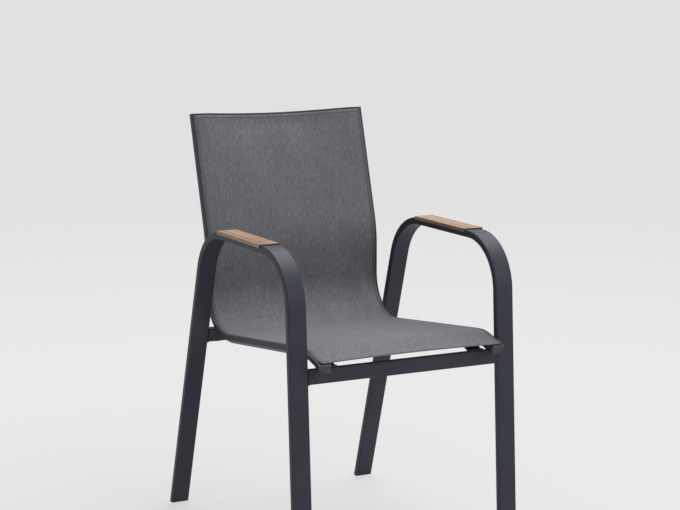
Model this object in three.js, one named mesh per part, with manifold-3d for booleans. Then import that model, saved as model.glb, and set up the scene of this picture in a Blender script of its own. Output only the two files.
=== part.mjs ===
// A sling patio chair, in millimetres, with +Z up, the front towards -Y and the floor at zero.
// Two side frames, each bent from one flat tube, carry two crossbeams. Two grooved rails and a bowed top
// bar, all of one extrusion, stand on the crossbeams and hold a sling by spline rods in its hems.
// Left is the side at -X. The part has no moving pieces.
import * as THREE from "three";
import { mergeVertices } from "three/addons/utils/BufferGeometryUtils.js";
import Module from "manifold-3d";

// Fits and cuts
const GAP = 0.3; // clearance between pieces that touch
const OVERRUN = 5; // how far a cutter runs past the wall that it cuts

// Side frames: lengths are along the side plane, angles are in degrees from upright
const REAR_FOOT_SETBACK = 117.5; // from the line of the lower back to the rear leg on the floor
const FRAME_CLEARANCE = 6; // between a sling rail and the side frame beside it
const ARM_HEIGHT = 648; // centreline of the level arm
const FRONT_LEAN = 3.2;
const REAR_LEAN = 17.35;
const FRONT_BEND = 107.5; // centreline radii
const REAR_BEND = 120;
const TUBE_WIDTH = 40;
const TUBE_DEPTH = 15;
const TUBE_CORNER = 3;
const TUBE_WALL = 1.8;

// Foot glides
const GLIDE_FLANGE = 2.5;
const GLIDE_CHAMFER = 0.7;
const GLIDE_PLUG = 18; // plug above the flange

// Crossbeams: their centrelines lie on the legs' centrelines
const FRONT_BEAM_DROP = 50.2; // below the seat's front corner
const REAR_BEAM_DROP = 3.3; // below the corner of the seat and the back
const BEAM_HEIGHT = 30;
const BEAM_DEPTH = 15;
const BEAM_CORNER = 2;

// Rail path: the sling's surface line in the side plane, as corners with bends
const CREST_SETBACK = 55; // from the front leg on the floor back to the seat's front corner
const CREST_HEIGHT = 462.9;
const NOSE_REACH = 69.5; // from that corner forward to the rail's end
const NOSE_SLOPE = 14.6;
const CREST_BEND = 110;
const SEAT_DEPTH = 468.5; // from the front corner to the line of the lower back
const SEAT_SLOPE = 6.5;
const SEAT_BEND = 90;
const LUMBAR_RISE = 196; // from that corner up to where the lower back leans into the upper back
const LUMBAR_BEND = 250;
const BACK_LEAN = 16.2;
const BACK_HEIGHT = 880;

// Rail section: depths are below the sling's side of the rail
const RAIL_SPAN = 366; // between the inner faces of the two rails
const RAIL_WIDTH = 26;
const RAIL_DEPTH = 18.5;
const RAIL_SIDE = 10; // height of the outer face, above the chamfer
const RAIL_BASE = 12; // width of the flat underside
const RAIL_WALL = 1.8;
const SLOT_INSET = 5; // from the outer face to the middle of the groove
const SLOT_MOUTH = 1.8;
const SLOT_RADIUS = 3.6;
const SLOT_DEPTH = 5.5; // to the middle of the groove's round part

// Top bar
const BAR_BOW = 25; // how far its middle is bowed backwards
const BOW_EXPONENT = 1.25; // fullness of the bow's curve
const BAR_STUB = 2; // straight stub inside each mitre

// Sling and splines
const SLING_THICKNESS = 1.2;
const SLING_SETBACK = 2.8; // from the rail's front end to the sling's front edge
const SLING_DRAW = 6.4; // how far the middle of the front edge is drawn back
const SLING_BRIDGE = 6; // how far the middle stands off the seat's bend
const SLING_ROW = 88; // longest step along the sling
const HEM_RADIUS = 3.1;
const HEM_SETBACK = 4.1; // from the rails' grooves to the ends of the top hem
const SPLINE_RADIUS = 1.5;
const SPLINE_SETBACK = 1; // from the end of a hem to the end of its spline

// Rail end caps
const CAP_THICKNESS = 6;
const CAP_PROUD = 0.5; // how far the cap stands out round the rail
const CAP_CHAMFER = 1.8;
const CAP_STEM = 15;

// Front rail brackets
const BRACKET_THICKNESS = 3;
const BRACKET_OVERHANG = 32; // from the rail's inner face towards the chair's middle
const BRACKET_WIDTH = 43.5;
const BRACKET_FRONT = 5.5; // flange in front of the crossbeam's middle
const BRACKET_REAR = 7; // flange behind the crossbeam's middle
const BRACKET_TAIL = 8; // flange past the seat's front bend
const BRACKET_SCREW_INSET = 11; // screw from the upper flange's end

// Fasteners: shank radius, length under the head, head radius and height
const PAD_SCREW = { shank: 1.75, length: 12.5, head: 4, headHeight: 2.4 };
const BRACKET_SCREW = { shank: 2.1, length: 11, head: 4.5, headHeight: 2.8 };
const SADDLE_BOLT = { shank: 2.5, length: 48, head: 5, headHeight: 4 };
const HEAD_CROWN_SHARE = 0.7; // width of the head's flat
const HEAD_EDGE_SHARE = 0.4; // height of the head's upright edge

// Arm pads
const PAD_FRONT_SETBACK = 10.6; // from the front bend's end back to the pad's front end
const PAD_REAR_REACH = 7.2; // from the rear bend's start back to the pad's rear end
const PAD_TOP = 3; // thickness above the arm
const PAD_SKIRT = 4.5; // how far the sides reach down beside the arm
const PAD_SIDE = 2; // thickness of the sides
const PAD_CHAMFER = 1;
const PAD_BOSS = 4; // radius of the screw bosses
const PAD_BOSS_LENGTH = 7;
const PAD_SCREW_INSET = 32; // from the pad's ends

// Facet counts
const BEND_STEP = 5.5; // degrees for each facet of a frame bend
const RAIL_STEP = 9.7; // degrees for each facet of a rail bend
const CORNER_CHORDS = 2;
const SLOT_CHORDS = 8;
const HEM_CHORDS = 5;
const SPLINE_SIDES = 6;
const BOW_STEPS = 3; // on each side of the middle
const ROUND_SIDES = 14;

const wasm = await Module();
wasm.setup();

const radians = THREE.MathUtils.degToRad;
const halfRailSpan = RAIL_SPAN / 2;
const slotCentre = RAIL_WIDTH - SLOT_INSET;
const hemCentre = halfRailSpan + slotCentre;
const framePlane = halfRailSpan + RAIL_WIDTH + FRAME_CLEARANCE + TUBE_WIDTH / 2; // middle of a side frame
const lowerBack = CREST_SETBACK + SEAT_DEPTH;
const seatCornerHeight = CREST_HEIGHT - SEAT_DEPTH * Math.tan(radians(SEAT_SLOPE));
const lumbarHeight = seatCornerHeight + LUMBAR_RISE;
const footSpread = lowerBack + REAR_FOOT_SETBACK;

// Closed bodies

// Makes a geometry of corner positions and triangles, with its faces turned out.
function closedGeometry(positions, faces) {
  const corner = (index) => new THREE.Vector3().fromArray(positions, 3 * index);
  const volume = faces.reduce((sum, [a, b, c]) => sum + corner(a).dot(corner(b).cross(corner(c))), 0);
  const turned = volume < 0 ? faces.map(([a, b, c]) => [a, c, b]) : faces;
  const geometry = new THREE.BufferGeometry();
  geometry.setAttribute("position", new THREE.Float32BufferAttribute(positions, 3));
  geometry.setIndex(turned.flat());
  return geometry;
}

// Triangles that fill a flat outline with holes.
function flatFaces(loops) {
  const [outline, ...holes] = loops.map((loop) => loop.map(([u, v]) => new THREE.Vector2(u, v)));
  const points = [outline, ...holes].flat();
  const area = (a, b, c) => points[b].clone().sub(points[a]).cross(points[c].clone().sub(points[a]));
  const faces = THREE.ShapeUtils.triangulateShape(outline, holes);
  return faces.map(([a, b, c]) => (area(a, b, c) < 0 ? [a, c, b] : [a, b, c]));
}

// Joins rings into a closed body. A ring has loops of flat points and a function that places them.
function loft(rings) {
  const placed = rings.flatMap(({ loops: ring, place }) => ring.flat().map((point) => place(...point)));
  const positions = placed.flatMap((point) => point.toArray());
  const { loops } = rings[0];
  const ringSize = loops.flat().length;
  const faces = [];
  for (let ring = 0; ring + 1 < rings.length; ring += 1) {
    let first = ring * ringSize;
    for (const loop of loops) {
      for (let here = 0; here < loop.length; here += 1) {
        const next = (here + 1) % loop.length;
        faces.push([first + here, first + next, first + ringSize + next]);
        faces.push([first + here, first + ringSize + next, first + ringSize + here]);
      }
      first += loop.length;
    }
  }
  const last = (rings.length - 1) * ringSize;
  for (const [a, b, c] of flatFaces(loops)) faces.push([c, b, a]);
  for (const [a, b, c] of flatFaces(rings.at(-1).loops)) faces.push([a + last, b + last, c + last]);
  return closedGeometry(positions, faces);
}

// Sweeps one section through a list of places.
function sweep({ outline, holes = [] }, places) {
  const loops = [outline, ...holes.map((hole) => [...hole].reverse())];
  return loft(places.map((place) => ({ loops, place })));
}

// Turns a profile of radii and heights round the Z axis.
function turned(profile) {
  const points = profile.map(([radius, height]) => new THREE.Vector2(radius, height));
  return new THREE.LatheGeometry(points, ROUND_SIDES).rotateX(Math.PI / 2);
}

// Joining and cutting

function solid(geometry) {
  const bare = geometry.clone().deleteAttribute("normal").deleteAttribute("uv");
  const merged = mergeVertices(bare);
  const vertProperties = merged.attributes.position.array;
  const triVerts = new Uint32Array(merged.index.array);
  return new wasm.Manifold(new wasm.Mesh({ numProp: 3, vertProperties, triVerts }));
}

function geometryOf(body) {
  const { vertProperties, triVerts } = body.getMesh();
  const geometry = new THREE.BufferGeometry();
  geometry.setAttribute("position", new THREE.BufferAttribute(new Float32Array(vertProperties), 3));
  geometry.setIndex(new THREE.BufferAttribute(new Uint32Array(triVerts), 1));
  return geometry;
}

function join(first, ...others) {
  return geometryOf(others.reduce((sum, other) => sum.add(solid(other)), solid(first)));
}

function cut(body, ...tools) {
  return geometryOf(tools.reduce((rest, tool) => rest.subtract(solid(tool)), solid(body)));
}

// A round cutter or boss from one point to another.
function roundBar(from, to, radius) {
  const axis = to.clone().sub(from);
  const bar = new THREE.CylinderGeometry(radius, radius, axis.length(), ROUND_SIDES);
  const axisOfCylinder = new THREE.Vector3(0, 1, 0);
  const turn = new THREE.Quaternion().setFromUnitVectors(axisOfCylinder, axis.normalize());
  return bar.applyQuaternion(turn).translate(...from.clone().add(to).divideScalar(2).toArray());
}

// Flat outlines, as [across, out] points that run anticlockwise

function roundedBox(width, height, radius) {
  const signs = [[1, 1], [-1, 1], [-1, -1], [1, -1]];
  return signs.flatMap(([across, out], quarter) =>
    Array.from({ length: CORNER_CHORDS + 1 }, (_, chord) => {
      const angle = (quarter + chord / CORNER_CHORDS) * (Math.PI / 2);
      return [
        across * (width / 2 - radius) + radius * Math.cos(angle),
        out * (height / 2 - radius) + radius * Math.sin(angle),
      ];
    }),
  );
}

// A tube's section: its outline and its bore.
function tubeSection(width, height, radius) {
  const boreRadius = Math.max(radius - TUBE_WALL, GAP);
  const bore = roundedBox(width - 2 * TUBE_WALL, height - 2 * TUBE_WALL, boreRadius);
  return { outline: roundedBox(width, height, radius), holes: [bore] };
}

// Moves a point of a line to the left of its two edges, which meet there.
function shifted([u, v], before, after, distance) {
  const left = (edge) => new THREE.Vector2(-edge.y, edge.x).normalize();
  const sum = left(before).add(left(after));
  const scale = distance / (1 + left(before).dot(left(after)));
  return [u + sum.x * scale, v + sum.y * scale];
}

const edgeFrom = ([u0, v0], [u1, v1]) => new THREE.Vector2(u1 - u0, v1 - v0);

// Draws a closed outline in by a distance, or out by a negative one.
function inset(outline, distance) {
  return outline.map((point, i) => {
    const before = outline.at(i - 1);
    const after = outline[(i + 1) % outline.length];
    return shifted(point, edgeFrom(before, point), edgeFrom(point, after), distance);
  });
}

// A bent plate's outline, from the line of its lower face.
function plateOutline(line, thickness) {
  const upper = line.map((point, i) => {
    const before = edgeFrom(line[Math.max(i - 1, 0)], line[Math.max(i, 1)]);
    const after = edgeFrom(line[Math.min(i, line.length - 2)], line[Math.min(i + 1, line.length - 1)]);
    return shifted(point, before, after, thickness);
  });
  return [...line, ...upper.reverse()];
}

// The round part of a keyhole, clockwise from the right side of its neck to the left side.
function keyholeArc(centre, depth, radius, neck, chords) {
  const start = Math.PI / 2 - Math.asin(neck / 2 / radius);
  return Array.from({ length: chords + 1 }, (_, chord) => {
    const angle = start - ((2 * start + Math.PI) * chord) / chords;
    return [centre + radius * Math.cos(angle), radius * Math.sin(angle) - depth];
  });
}

function polygon(centre, depth, insideRadius, sides) {
  const radius = insideRadius / Math.cos(Math.PI / sides);
  return Array.from({ length: sides }, (_, side) => {
    const angle = (2 * Math.PI * side) / sides;
    return [centre + radius * Math.cos(angle), radius * Math.sin(angle) - depth];
  });
}

// Paths in the side plane, whose points hold Y and Z

// Straight runs joined by round bends. A place on it is a distance from its start.
class BentPath {
  constructor(corners, bends) {
    this.runs = [];
    this.length = 0;
    let start = corners[0];
    corners.slice(1).forEach((corner, i) => {
      const along = corner.clone().sub(start).normalize();
      const reach = start.distanceTo(corner);
      const ahead = corners[i + 2];
      const leaving = ahead ? ahead.clone().sub(corner).normalize() : along;
      const turn = Math.atan2(along.cross(leaving), along.dot(leaving));
      const setback = ahead ? bends[i] * Math.tan(Math.abs(turn) / 2) : 0;
      this.addRun(start, along, reach - setback, 0);
      if (ahead) {
        const bendStart = corner.clone().addScaledVector(along, -setback);
        this.addRun(bendStart, along, bends[i] * Math.abs(turn), turn);
        start = corner.clone().addScaledVector(leaving, setback);
      }
    });
  }

  addRun(start, along, length, turn) {
    this.runs.push({ start, along, length, turn, begin: this.length, end: this.length + length });
    this.length += length;
  }

  // The point, direction and left-hand normal at a distance along the path.
  at(distance) {
    const run = this.runs.find(({ end }) => distance <= end) ?? this.runs.at(-1);
    const reach = distance - run.begin;
    const turn = (run.turn * reach) / run.length;
    const chord = run.turn ? (2 * run.length * Math.sin(turn / 2)) / run.turn : reach;
    const origin = new THREE.Vector2();
    const chordWay = run.along.clone().rotateAround(origin, turn / 2);
    const along = run.along.clone().rotateAround(origin, turn);
    const out = new THREE.Vector2(-along.y, along.x);
    return { point: run.start.clone().addScaledVector(chordWay, chord), along, out };
  }

  // Distances of the facet edges of every bend.
  bendStops(stepDegrees) {
    return this.runs.filter(({ turn }) => turn).flatMap(({ turn, begin, length }) => {
      const steps = Math.ceil(Math.abs(turn) / radians(stepDegrees));
      return Array.from({ length: steps + 1 }, (_, step) => begin + (length * step) / steps);
    });
  }
}

// Places a section square to a path's station, from an X that stands for its zero.
function squareTo({ point, out: normal }, originX = 0) {
  return (across, out) =>
    new THREE.Vector3(originX + across, point.x + out * normal.x, point.y + out * normal.y);
}

// Places a section on a level plane, slid along the path's direction.
function levelAt({ point, along, out: normal }, height) {
  return (across, out) => {
    const onSection = point.clone().addScaledVector(normal, out);
    const slide = (height - onSection.y) / along.y;
    return new THREE.Vector3(across, onSection.x + slide * along.x, height);
  };
}

// Places a section of the side plane at one X.
const acrossAt = (x) => (y, z) => new THREE.Vector3(x, y, z);

const spacePoint = (x, { x: y, y: z }) => new THREE.Vector3(x, y, z);

// Side frames

const frontLegShift = Math.tan(radians(FRONT_LEAN));
const rearLegShift = Math.tan(radians(REAR_LEAN));
const framePath = new BentPath(
  [
    new THREE.Vector2(0, 0),
    new THREE.Vector2(ARM_HEIGHT * frontLegShift, ARM_HEIGHT),
    new THREE.Vector2(footSpread - ARM_HEIGHT * rearLegShift, ARM_HEIGHT),
    new THREE.Vector2(footSpread, 0),
  ],
  [FRONT_BEND, REAR_BEND],
);
const frontFoot = framePath.at(0);
const rearFoot = framePath.at(framePath.length);
const [, , armRun] = framePath.runs;
const padFront = armRun.start.x + PAD_FRONT_SETBACK;
const padRear = armRun.start.x + armRun.length + PAD_REAR_REACH;
const padScrewPlaces = [padFront + PAD_SCREW_INSET, padRear - PAD_SCREW_INSET];
const armPoint = (y, z) => new THREE.Vector3(0, y, z);

function sideFrameGeometry() {
  const tubeEnd = GLIDE_FLANGE + GAP;
  const stops = framePath.bendStops(BEND_STEP).map((stop) => squareTo(framePath.at(stop)));
  const places = [levelAt(frontFoot, tubeEnd), ...stops, levelAt(rearFoot, tubeEnd)];
  const tube = sweep(tubeSection(TUBE_WIDTH, TUBE_DEPTH, TUBE_CORNER), places);
  const reach = TUBE_DEPTH / 2 + OVERRUN;
  const holes = padScrewPlaces.flatMap((y) => [
    roundBar(armPoint(y, ARM_HEIGHT - reach), armPoint(y, ARM_HEIGHT), PAD_SCREW.shank + GAP),
    roundBar(armPoint(y, ARM_HEIGHT), armPoint(y, ARM_HEIGHT + reach), PAD_BOSS + GAP),
  ]);
  return cut(tube, ...holes);
}

function glideGeometry(foot) {
  const flange = roundedBox(TUBE_WIDTH, TUBE_DEPTH, TUBE_CORNER);
  const play = 2 * (TUBE_WALL + GAP);
  const plugRadius = Math.max(TUBE_CORNER - TUBE_WALL, GAP);
  const plug = roundedBox(TUBE_WIDTH - play, TUBE_DEPTH - play, plugRadius);
  const ring = (outline, height) => ({ loops: [outline], place: levelAt(foot, height) });
  return loft([
    ring(inset(flange, GLIDE_CHAMFER), 0),
    ring(flange, GLIDE_CHAMFER),
    ring(flange, GLIDE_FLANGE),
    ring(plug, GLIDE_FLANGE),
    ring(plug, GLIDE_FLANGE + GLIDE_PLUG),
  ]);
}

// Crossbeams, each leaning with the legs that carry it

function beamStation(height, shift, foot) {
  const lean = new THREE.Vector2(shift, 1).normalize();
  const point = new THREE.Vector2(foot + height * shift, height);
  return { point, along: lean, out: new THREE.Vector2(-lean.y, lean.x) };
}

const frontBeam = beamStation(CREST_HEIGHT - FRONT_BEAM_DROP, frontLegShift, 0);
const rearBeam = beamStation(seatCornerHeight - REAR_BEAM_DROP, -rearLegShift, footSpread);

// A point of a beam's section, up along its legs and forwards from its middle.
const onBeam = ({ point, along, out }, up, forwards) =>
  point.clone().addScaledVector(along, up).addScaledVector(out, forwards);

function beamGeometry(beam) {
  const end = framePlane - TUBE_WIDTH / 2 - GAP;
  const place = (x) => (forwards, up) => spacePoint(x, onBeam(beam, up, forwards));
  return sweep(tubeSection(BEAM_DEPTH, BEAM_HEIGHT, BEAM_CORNER), [place(-end), place(end)]);
}

// Sling rails

const noseFall = NOSE_REACH * Math.tan(radians(NOSE_SLOPE));
const railPath = new BentPath(
  [
    new THREE.Vector2(CREST_SETBACK - NOSE_REACH, CREST_HEIGHT - noseFall),
    new THREE.Vector2(CREST_SETBACK, CREST_HEIGHT),
    new THREE.Vector2(lowerBack, seatCornerHeight),
    new THREE.Vector2(lowerBack, lumbarHeight),
    new THREE.Vector2(
      lowerBack + (BACK_HEIGHT - lumbarHeight) * Math.tan(radians(BACK_LEAN)),
      BACK_HEIGHT,
    ),
  ],
  [CREST_BEND, SEAT_BEND, LUMBAR_BEND],
);
const [, crestBend, , seatBend] = railPath.runs;
const barEdge = railPath.length - RAIL_WIDTH; // the top bar's lower edge, as a distance along the path
const mitreGap = GAP / Math.SQRT2;

// Places a section of the right rail, counted from its inner face, at a distance along it.
const onRail = (distance) => squareTo(railPath.at(distance), halfRailSpan);

// The hollow of the rail, which keeps one wall from the groove and from the outside.
function railCavity() {
  const slope = (RAIL_DEPTH - RAIL_SIDE) / (RAIL_WIDTH - RAIL_BASE);
  const insideChamfer = (depth) =>
    RAIL_WIDTH - (depth - RAIL_SIDE + RAIL_WALL * Math.hypot(1, slope)) / slope;
  const floor = RAIL_DEPTH - RAIL_WALL;
  const shelf = SLOT_DEPTH + SLOT_RADIUS + RAIL_WALL;
  const wall = slotCentre - SLOT_RADIUS - RAIL_WALL;
  return [
    [RAIL_WALL, -RAIL_WALL],
    [RAIL_WALL, -floor],
    [insideChamfer(floor), -floor],
    [insideChamfer(shelf), -shelf],
    [wall, -shelf],
    [wall, -RAIL_WALL],
  ];
}

const railCorners = [
  [0, 0],
  [0, -RAIL_DEPTH],
  [RAIL_BASE, -RAIL_DEPTH],
  [RAIL_WIDTH, -RAIL_SIDE],
  [RAIL_WIDTH, 0],
];

// The extrusion: a chamfered box with a hollow and a keyhole groove that opens towards the sling.
function railSection() {
  const groove = [
    [slotCentre + SLOT_MOUTH / 2, 0],
    ...keyholeArc(slotCentre, SLOT_DEPTH, SLOT_RADIUS, SLOT_MOUTH, SLOT_CHORDS),
    [slotCentre - SLOT_MOUTH / 2, 0],
  ];
  return { outline: [...railCorners, ...groove], holes: [railCavity()] };
}

// The space that a rail needs, for cutting pieces that bear on it.
function railClearance() {
  const outer = RAIL_WIDTH + GAP;
  const below = -RAIL_DEPTH - GAP;
  const outline = [[-GAP, 0], [-GAP, below], [outer, below], [outer, 0]];
  const stops = [0, ...railPath.bendStops(RAIL_STEP), railPath.length];
  return sweep({ outline }, stops.map(onRail));
}

function railGeometry(screwHoles) {
  const stops = [0, ...railPath.bendStops(RAIL_STEP)].map(onRail);
  const mitre = (across, out) => onRail(barEdge + across - mitreGap)(across, out);
  return cut(sweep(railSection(), [...stops, mitre]), ...screwHoles);
}

function capGeometry() {
  const outline = inset(railCorners, -CAP_PROUD);
  const ring = (loop, distance) => ({ loops: [loop], place: onRail(distance) });
  const back = -GAP;
  const front = back - CAP_THICKNESS;
  const face = loft([
    ring(inset(outline, CAP_CHAMFER), front),
    ring(outline, front + CAP_CHAMFER),
    ring(outline, back),
  ]);
  const stem = inset(railCavity(), GAP);
  return join(face, loft([ring(stem, (front + back) / 2), ring(stem, back + CAP_STEM)]));
}

// Top bar

const halfBow = halfRailSpan - BAR_STUB;

// How far the bar lies behind the plane of the back at one X, and the slope of that curve.
function bowAt(x) {
  const share = x / halfBow;
  const room = Math.max(1 - share * share, 0);
  const drop = BAR_BOW * room ** BOW_EXPONENT;
  const slope = (-2 * BAR_BOW * BOW_EXPONENT * share * room ** (BOW_EXPONENT - 1)) / halfBow;
  return { drop, slope };
}

// A point of the bar's section: up from its lower edge and out from its surface, at one X.
function barPoint(x, up, out) {
  const { drop, slope } = bowAt(x);
  const { point, out: normal } = railPath.at(barEdge + up);
  const square = out / Math.hypot(1, slope);
  return spacePoint(x + square * slope, point.addScaledVector(normal, square - drop));
}

const bowStations = Array.from(
  { length: 2 * BOW_STEPS + 1 },
  (_, step) => (halfBow * (step - BOW_STEPS)) / BOW_STEPS,
);

function barPlaces(end) {
  const places = bowStations.map((x) => (up, out) => barPoint(x, up, out));
  return [(up, out) => barPoint(-end(up), up, out), ...places, (up, out) => barPoint(end(up), up, out)];
}

function topBarGeometry() {
  return sweep(railSection(), barPlaces((up) => halfRailSpan + up - mitreGap));
}

// Sling

const hemFace = GAP; // underside of the sling above the rails
const slingFace = hemFace + SLING_THICKNESS;
const hemArc = (centre) => keyholeArc(centre, SLOT_DEPTH, HEM_RADIUS, SLING_THICKNESS, HEM_CHORDS).reverse();
const hemBore = (centre) => polygon(centre, SLOT_DEPTH, SPLINE_RADIUS + GAP, SPLINE_SIDES);

// The sheet with a hem pocket along each side.
function slingSection() {
  const edge = hemCentre + SLING_THICKNESS / 2;
  const fold = hemCentre - SLING_THICKNESS / 2;
  const columns = [...bowStations].reverse();
  const outline = [
    [edge, slingFace],
    ...columns.map((x) => [x, slingFace]),
    [-edge, slingFace],
    ...hemArc(-hemCentre),
    [-fold, hemFace],
    ...[...columns].reverse().map((x) => [x, hemFace]),
    [fold, hemFace],
    ...hemArc(hemCentre),
  ];
  return { outline, holes: [hemBore(-hemCentre), hemBore(hemCentre)] };
}

// How far the tensioned sling lies behind the rails: it takes the bar's bow, which dies out below the
// bar, and it bridges the bend at the back of the seat.
function slingDrop(distance, x) {
  const share = x / halfBow;
  const across = Math.max(1 - share * share, 0);
  const below = Math.max(barEdge - distance, 0);
  const bow = bowAt(x).drop * Math.exp((-Math.PI * below) / (2 * hemCentre));
  const intoBend = THREE.MathUtils.clamp((distance - seatBend.begin) / seatBend.length, 0, 1);
  return bow - SLING_BRIDGE * across * Math.sin(Math.PI * intoBend) ** 2;
}

// The sling's rows: the rails' facet edges, with long runs divided.
function slingRows() {
  const topEdge = barEdge + slotCentre + SLOT_MOUTH / 2;
  const stops = [SLING_SETBACK, ...railPath.bendStops(RAIL_STEP), barEdge, topEdge];
  return stops.flatMap((stop, i) => {
    const next = stops[i + 1] ?? stop;
    const parts = Math.max(Math.ceil((next - stop) / SLING_ROW), 1);
    return Array.from({ length: parts }, (_, part) => stop + ((next - stop) * part) / parts);
  });
}

function slingGeometry() {
  const places = slingRows().map((row, i) => (x, out) => {
    const share = x / hemCentre;
    const draw = i === 0 ? SLING_DRAW * Math.max(1 - share * share, 0) : 0;
    return squareTo(railPath.at(row + draw))(x, out - slingDrop(row, x));
  });
  const sheet = sweep(slingSection(), places);
  const tongueTop = (hemFace + slingFace) / 2;
  const topHem = {
    outline: [
      [slotCentre + SLING_THICKNESS / 2, tongueTop],
      [slotCentre - SLING_THICKNESS / 2, tongueTop],
      ...hemArc(slotCentre),
    ],
    holes: [hemBore(slotCentre)],
  };
  return join(sheet, sweep(topHem, barPlaces(() => hemCentre - HEM_SETBACK)));
}

function splineOutline(centre) {
  return { outline: polygon(centre, SLOT_DEPTH, SPLINE_RADIUS, SPLINE_SIDES) };
}

function sideSplineGeometry() {
  const front = SLING_SETBACK + SPLINE_SETBACK;
  const top = barEdge + slotCentre - HEM_RADIUS - HEM_SETBACK;
  const stops = [front, ...railPath.bendStops(RAIL_STEP), top];
  return sweep(splineOutline(slotCentre), stops.map(onRail));
}

function topSplineGeometry() {
  return sweep(splineOutline(slotCentre), barPlaces(() => hemCentre - HEM_SETBACK - SPLINE_SETBACK));
}

// Front rail brackets, bent up from the crossbeam to the rail

const bearingX = halfRailSpan + RAIL_BASE / 2; // middle of the rail's flat underside
const crestMiddle = crestBend.begin + crestBend.length / 2;

// A point under the rail, at a distance along it and a depth below its surface.
const underRail = (distance, depth) => {
  const { point, out } = railPath.at(distance);
  return point.addScaledVector(out, -depth);
};

const bracketLine = [
  onBeam(frontBeam, BEAM_HEIGHT / 2 + GAP, BRACKET_FRONT),
  onBeam(frontBeam, BEAM_HEIGHT / 2 + GAP, -BRACKET_REAR),
  underRail(crestMiddle, RAIL_DEPTH + GAP + BRACKET_THICKNESS),
  underRail(crestBend.end + BRACKET_TAIL, RAIL_DEPTH + GAP + BRACKET_THICKNESS),
];
const bracketRise = bracketLine[3].clone().sub(bracketLine[2]).normalize();
const bracketUp = new THREE.Vector2(-bracketRise.y, bracketRise.x);
const bracketScrewSeat = bracketLine[3]
  .clone()
  .addScaledVector(bracketRise, -BRACKET_SCREW_INSET)
  .addScaledVector(bracketUp, -GAP);

function holeAlong(seat, way, from, to, radius) {
  const end = (distance) => spacePoint(bearingX, seat.clone().addScaledVector(way, distance));
  return roundBar(end(from), end(to), radius);
}

const bracketHole = () =>
  holeAlong(bracketScrewSeat, bracketUp, -OVERRUN, BRACKET_SCREW.length + GAP, BRACKET_SCREW.shank + GAP);

// Space beside the riser, which leaves only the upper flange under the rail.
function bracketNotch() {
  const [foot, , bend] = bracketLine;
  const corners = [
    [foot.x - OVERRUN, foot.y - OVERRUN],
    [bend.x, foot.y - OVERRUN],
    [bend.x, bend.y + BRACKET_THICKNESS + OVERRUN],
    [foot.x - OVERRUN, bend.y + BRACKET_THICKNESS + OVERRUN],
  ];
  const outer = halfRailSpan - BRACKET_OVERHANG + BRACKET_WIDTH + OVERRUN;
  return sweep({ outline: corners }, [acrossAt(halfRailSpan), acrossAt(outer)]);
}

function bracketGeometry() {
  const outline = plateOutline(bracketLine.map(({ x, y }) => [x, y]), BRACKET_THICKNESS);
  const inner = halfRailSpan - BRACKET_OVERHANG;
  const plate = sweep({ outline }, [acrossAt(inner), acrossAt(inner + BRACKET_WIDTH)]);
  return cut(plate, railClearance(), bracketHole(), bracketNotch());
}

// Rear rail saddles, between the leaning crossbeam and the rail's bend

const saddleSeat = onBeam(rearBeam, -BEAM_HEIGHT / 2 - GAP, 0);
const saddleHole = () =>
  holeAlong(saddleSeat, rearBeam.along, -OVERRUN, SADDLE_BOLT.length + GAP, SADDLE_BOLT.shank + GAP);

function saddleGeometry() {
  const floor = BEAM_HEIGHT / 2 + GAP;
  const half = BEAM_DEPTH / 2;
  const corners = [
    onBeam(rearBeam, floor, half),
    onBeam(rearBeam, floor, -half),
    onBeam(rearBeam, floor + RAIL_DEPTH, -half),
    onBeam(rearBeam, floor + RAIL_DEPTH, half),
  ];
  const outline = corners.map(({ x, y }) => [x, y]);
  const block = sweep({ outline }, [acrossAt(halfRailSpan), acrossAt(halfRailSpan + RAIL_BASE)]);
  const cleared = solid(cut(block, railClearance(), saddleHole())).decompose();
  const lowest = (body) => body.boundingBox().min[2];
  return geometryOf(cleared.sort((one, other) => lowest(one) - lowest(other))[0]);
}

// Arm pads

function padGeometry() {
  const inner = TUBE_WIDTH / 2 + GAP;
  const outer = inner + PAD_SIDE;
  const under = TUBE_DEPTH / 2 + GAP;
  const top = TUBE_DEPTH / 2 + PAD_TOP;
  const skirt = TUBE_DEPTH / 2 - PAD_SKIRT;
  const outline = [
    [outer, skirt],
    [outer, top - PAD_CHAMFER],
    [outer - PAD_CHAMFER, top],
    [PAD_CHAMFER - outer, top],
    [-outer, top - PAD_CHAMFER],
    [-outer, skirt],
    [-inner, skirt],
    [-inner, under],
    [inner, under],
    [inner, skirt],
  ];
  const ends = inset(outline, PAD_CHAMFER / 2);
  const ring = (loop, y) => ({
    loops: [loop],
    place: (across, out) => new THREE.Vector3(across, y, ARM_HEIGHT + out),
  });
  const shell = loft([
    ring(ends, padFront),
    ring(outline, padFront + PAD_CHAMFER),
    ring(outline, padRear - PAD_CHAMFER),
    ring(ends, padRear),
  ]);
  const rootHeight = ARM_HEIGHT + TUBE_DEPTH / 2 + PAD_TOP / 2;
  const tip = ARM_HEIGHT + under - PAD_BOSS_LENGTH;
  const boreTop = ARM_HEIGHT - TUBE_DEPTH / 2 + PAD_SCREW.length + GAP;
  const bosses = padScrewPlaces.map((y) => roundBar(armPoint(y, tip), armPoint(y, rootHeight), PAD_BOSS));
  const bores = padScrewPlaces.map((y) =>
    roundBar(armPoint(y, tip - OVERRUN), armPoint(y, boreTop), PAD_SCREW.shank + GAP),
  );
  return cut(join(shell, ...bosses), ...bores);
}

// A pan-head screw that points up, with the seat of its head at zero.
function screwGeometry({ shank, length, head, headHeight }) {
  const chamfer = shank / 2;
  return turned([
    [0, -headHeight],
    [head * HEAD_CROWN_SHARE, -headHeight],
    [head, -headHeight * HEAD_EDGE_SHARE],
    [head, 0],
    [shank, 0],
    [shank, length - chamfer],
    [shank - chamfer, length],
    [0, length],
  ]);
}

// Finishes

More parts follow.
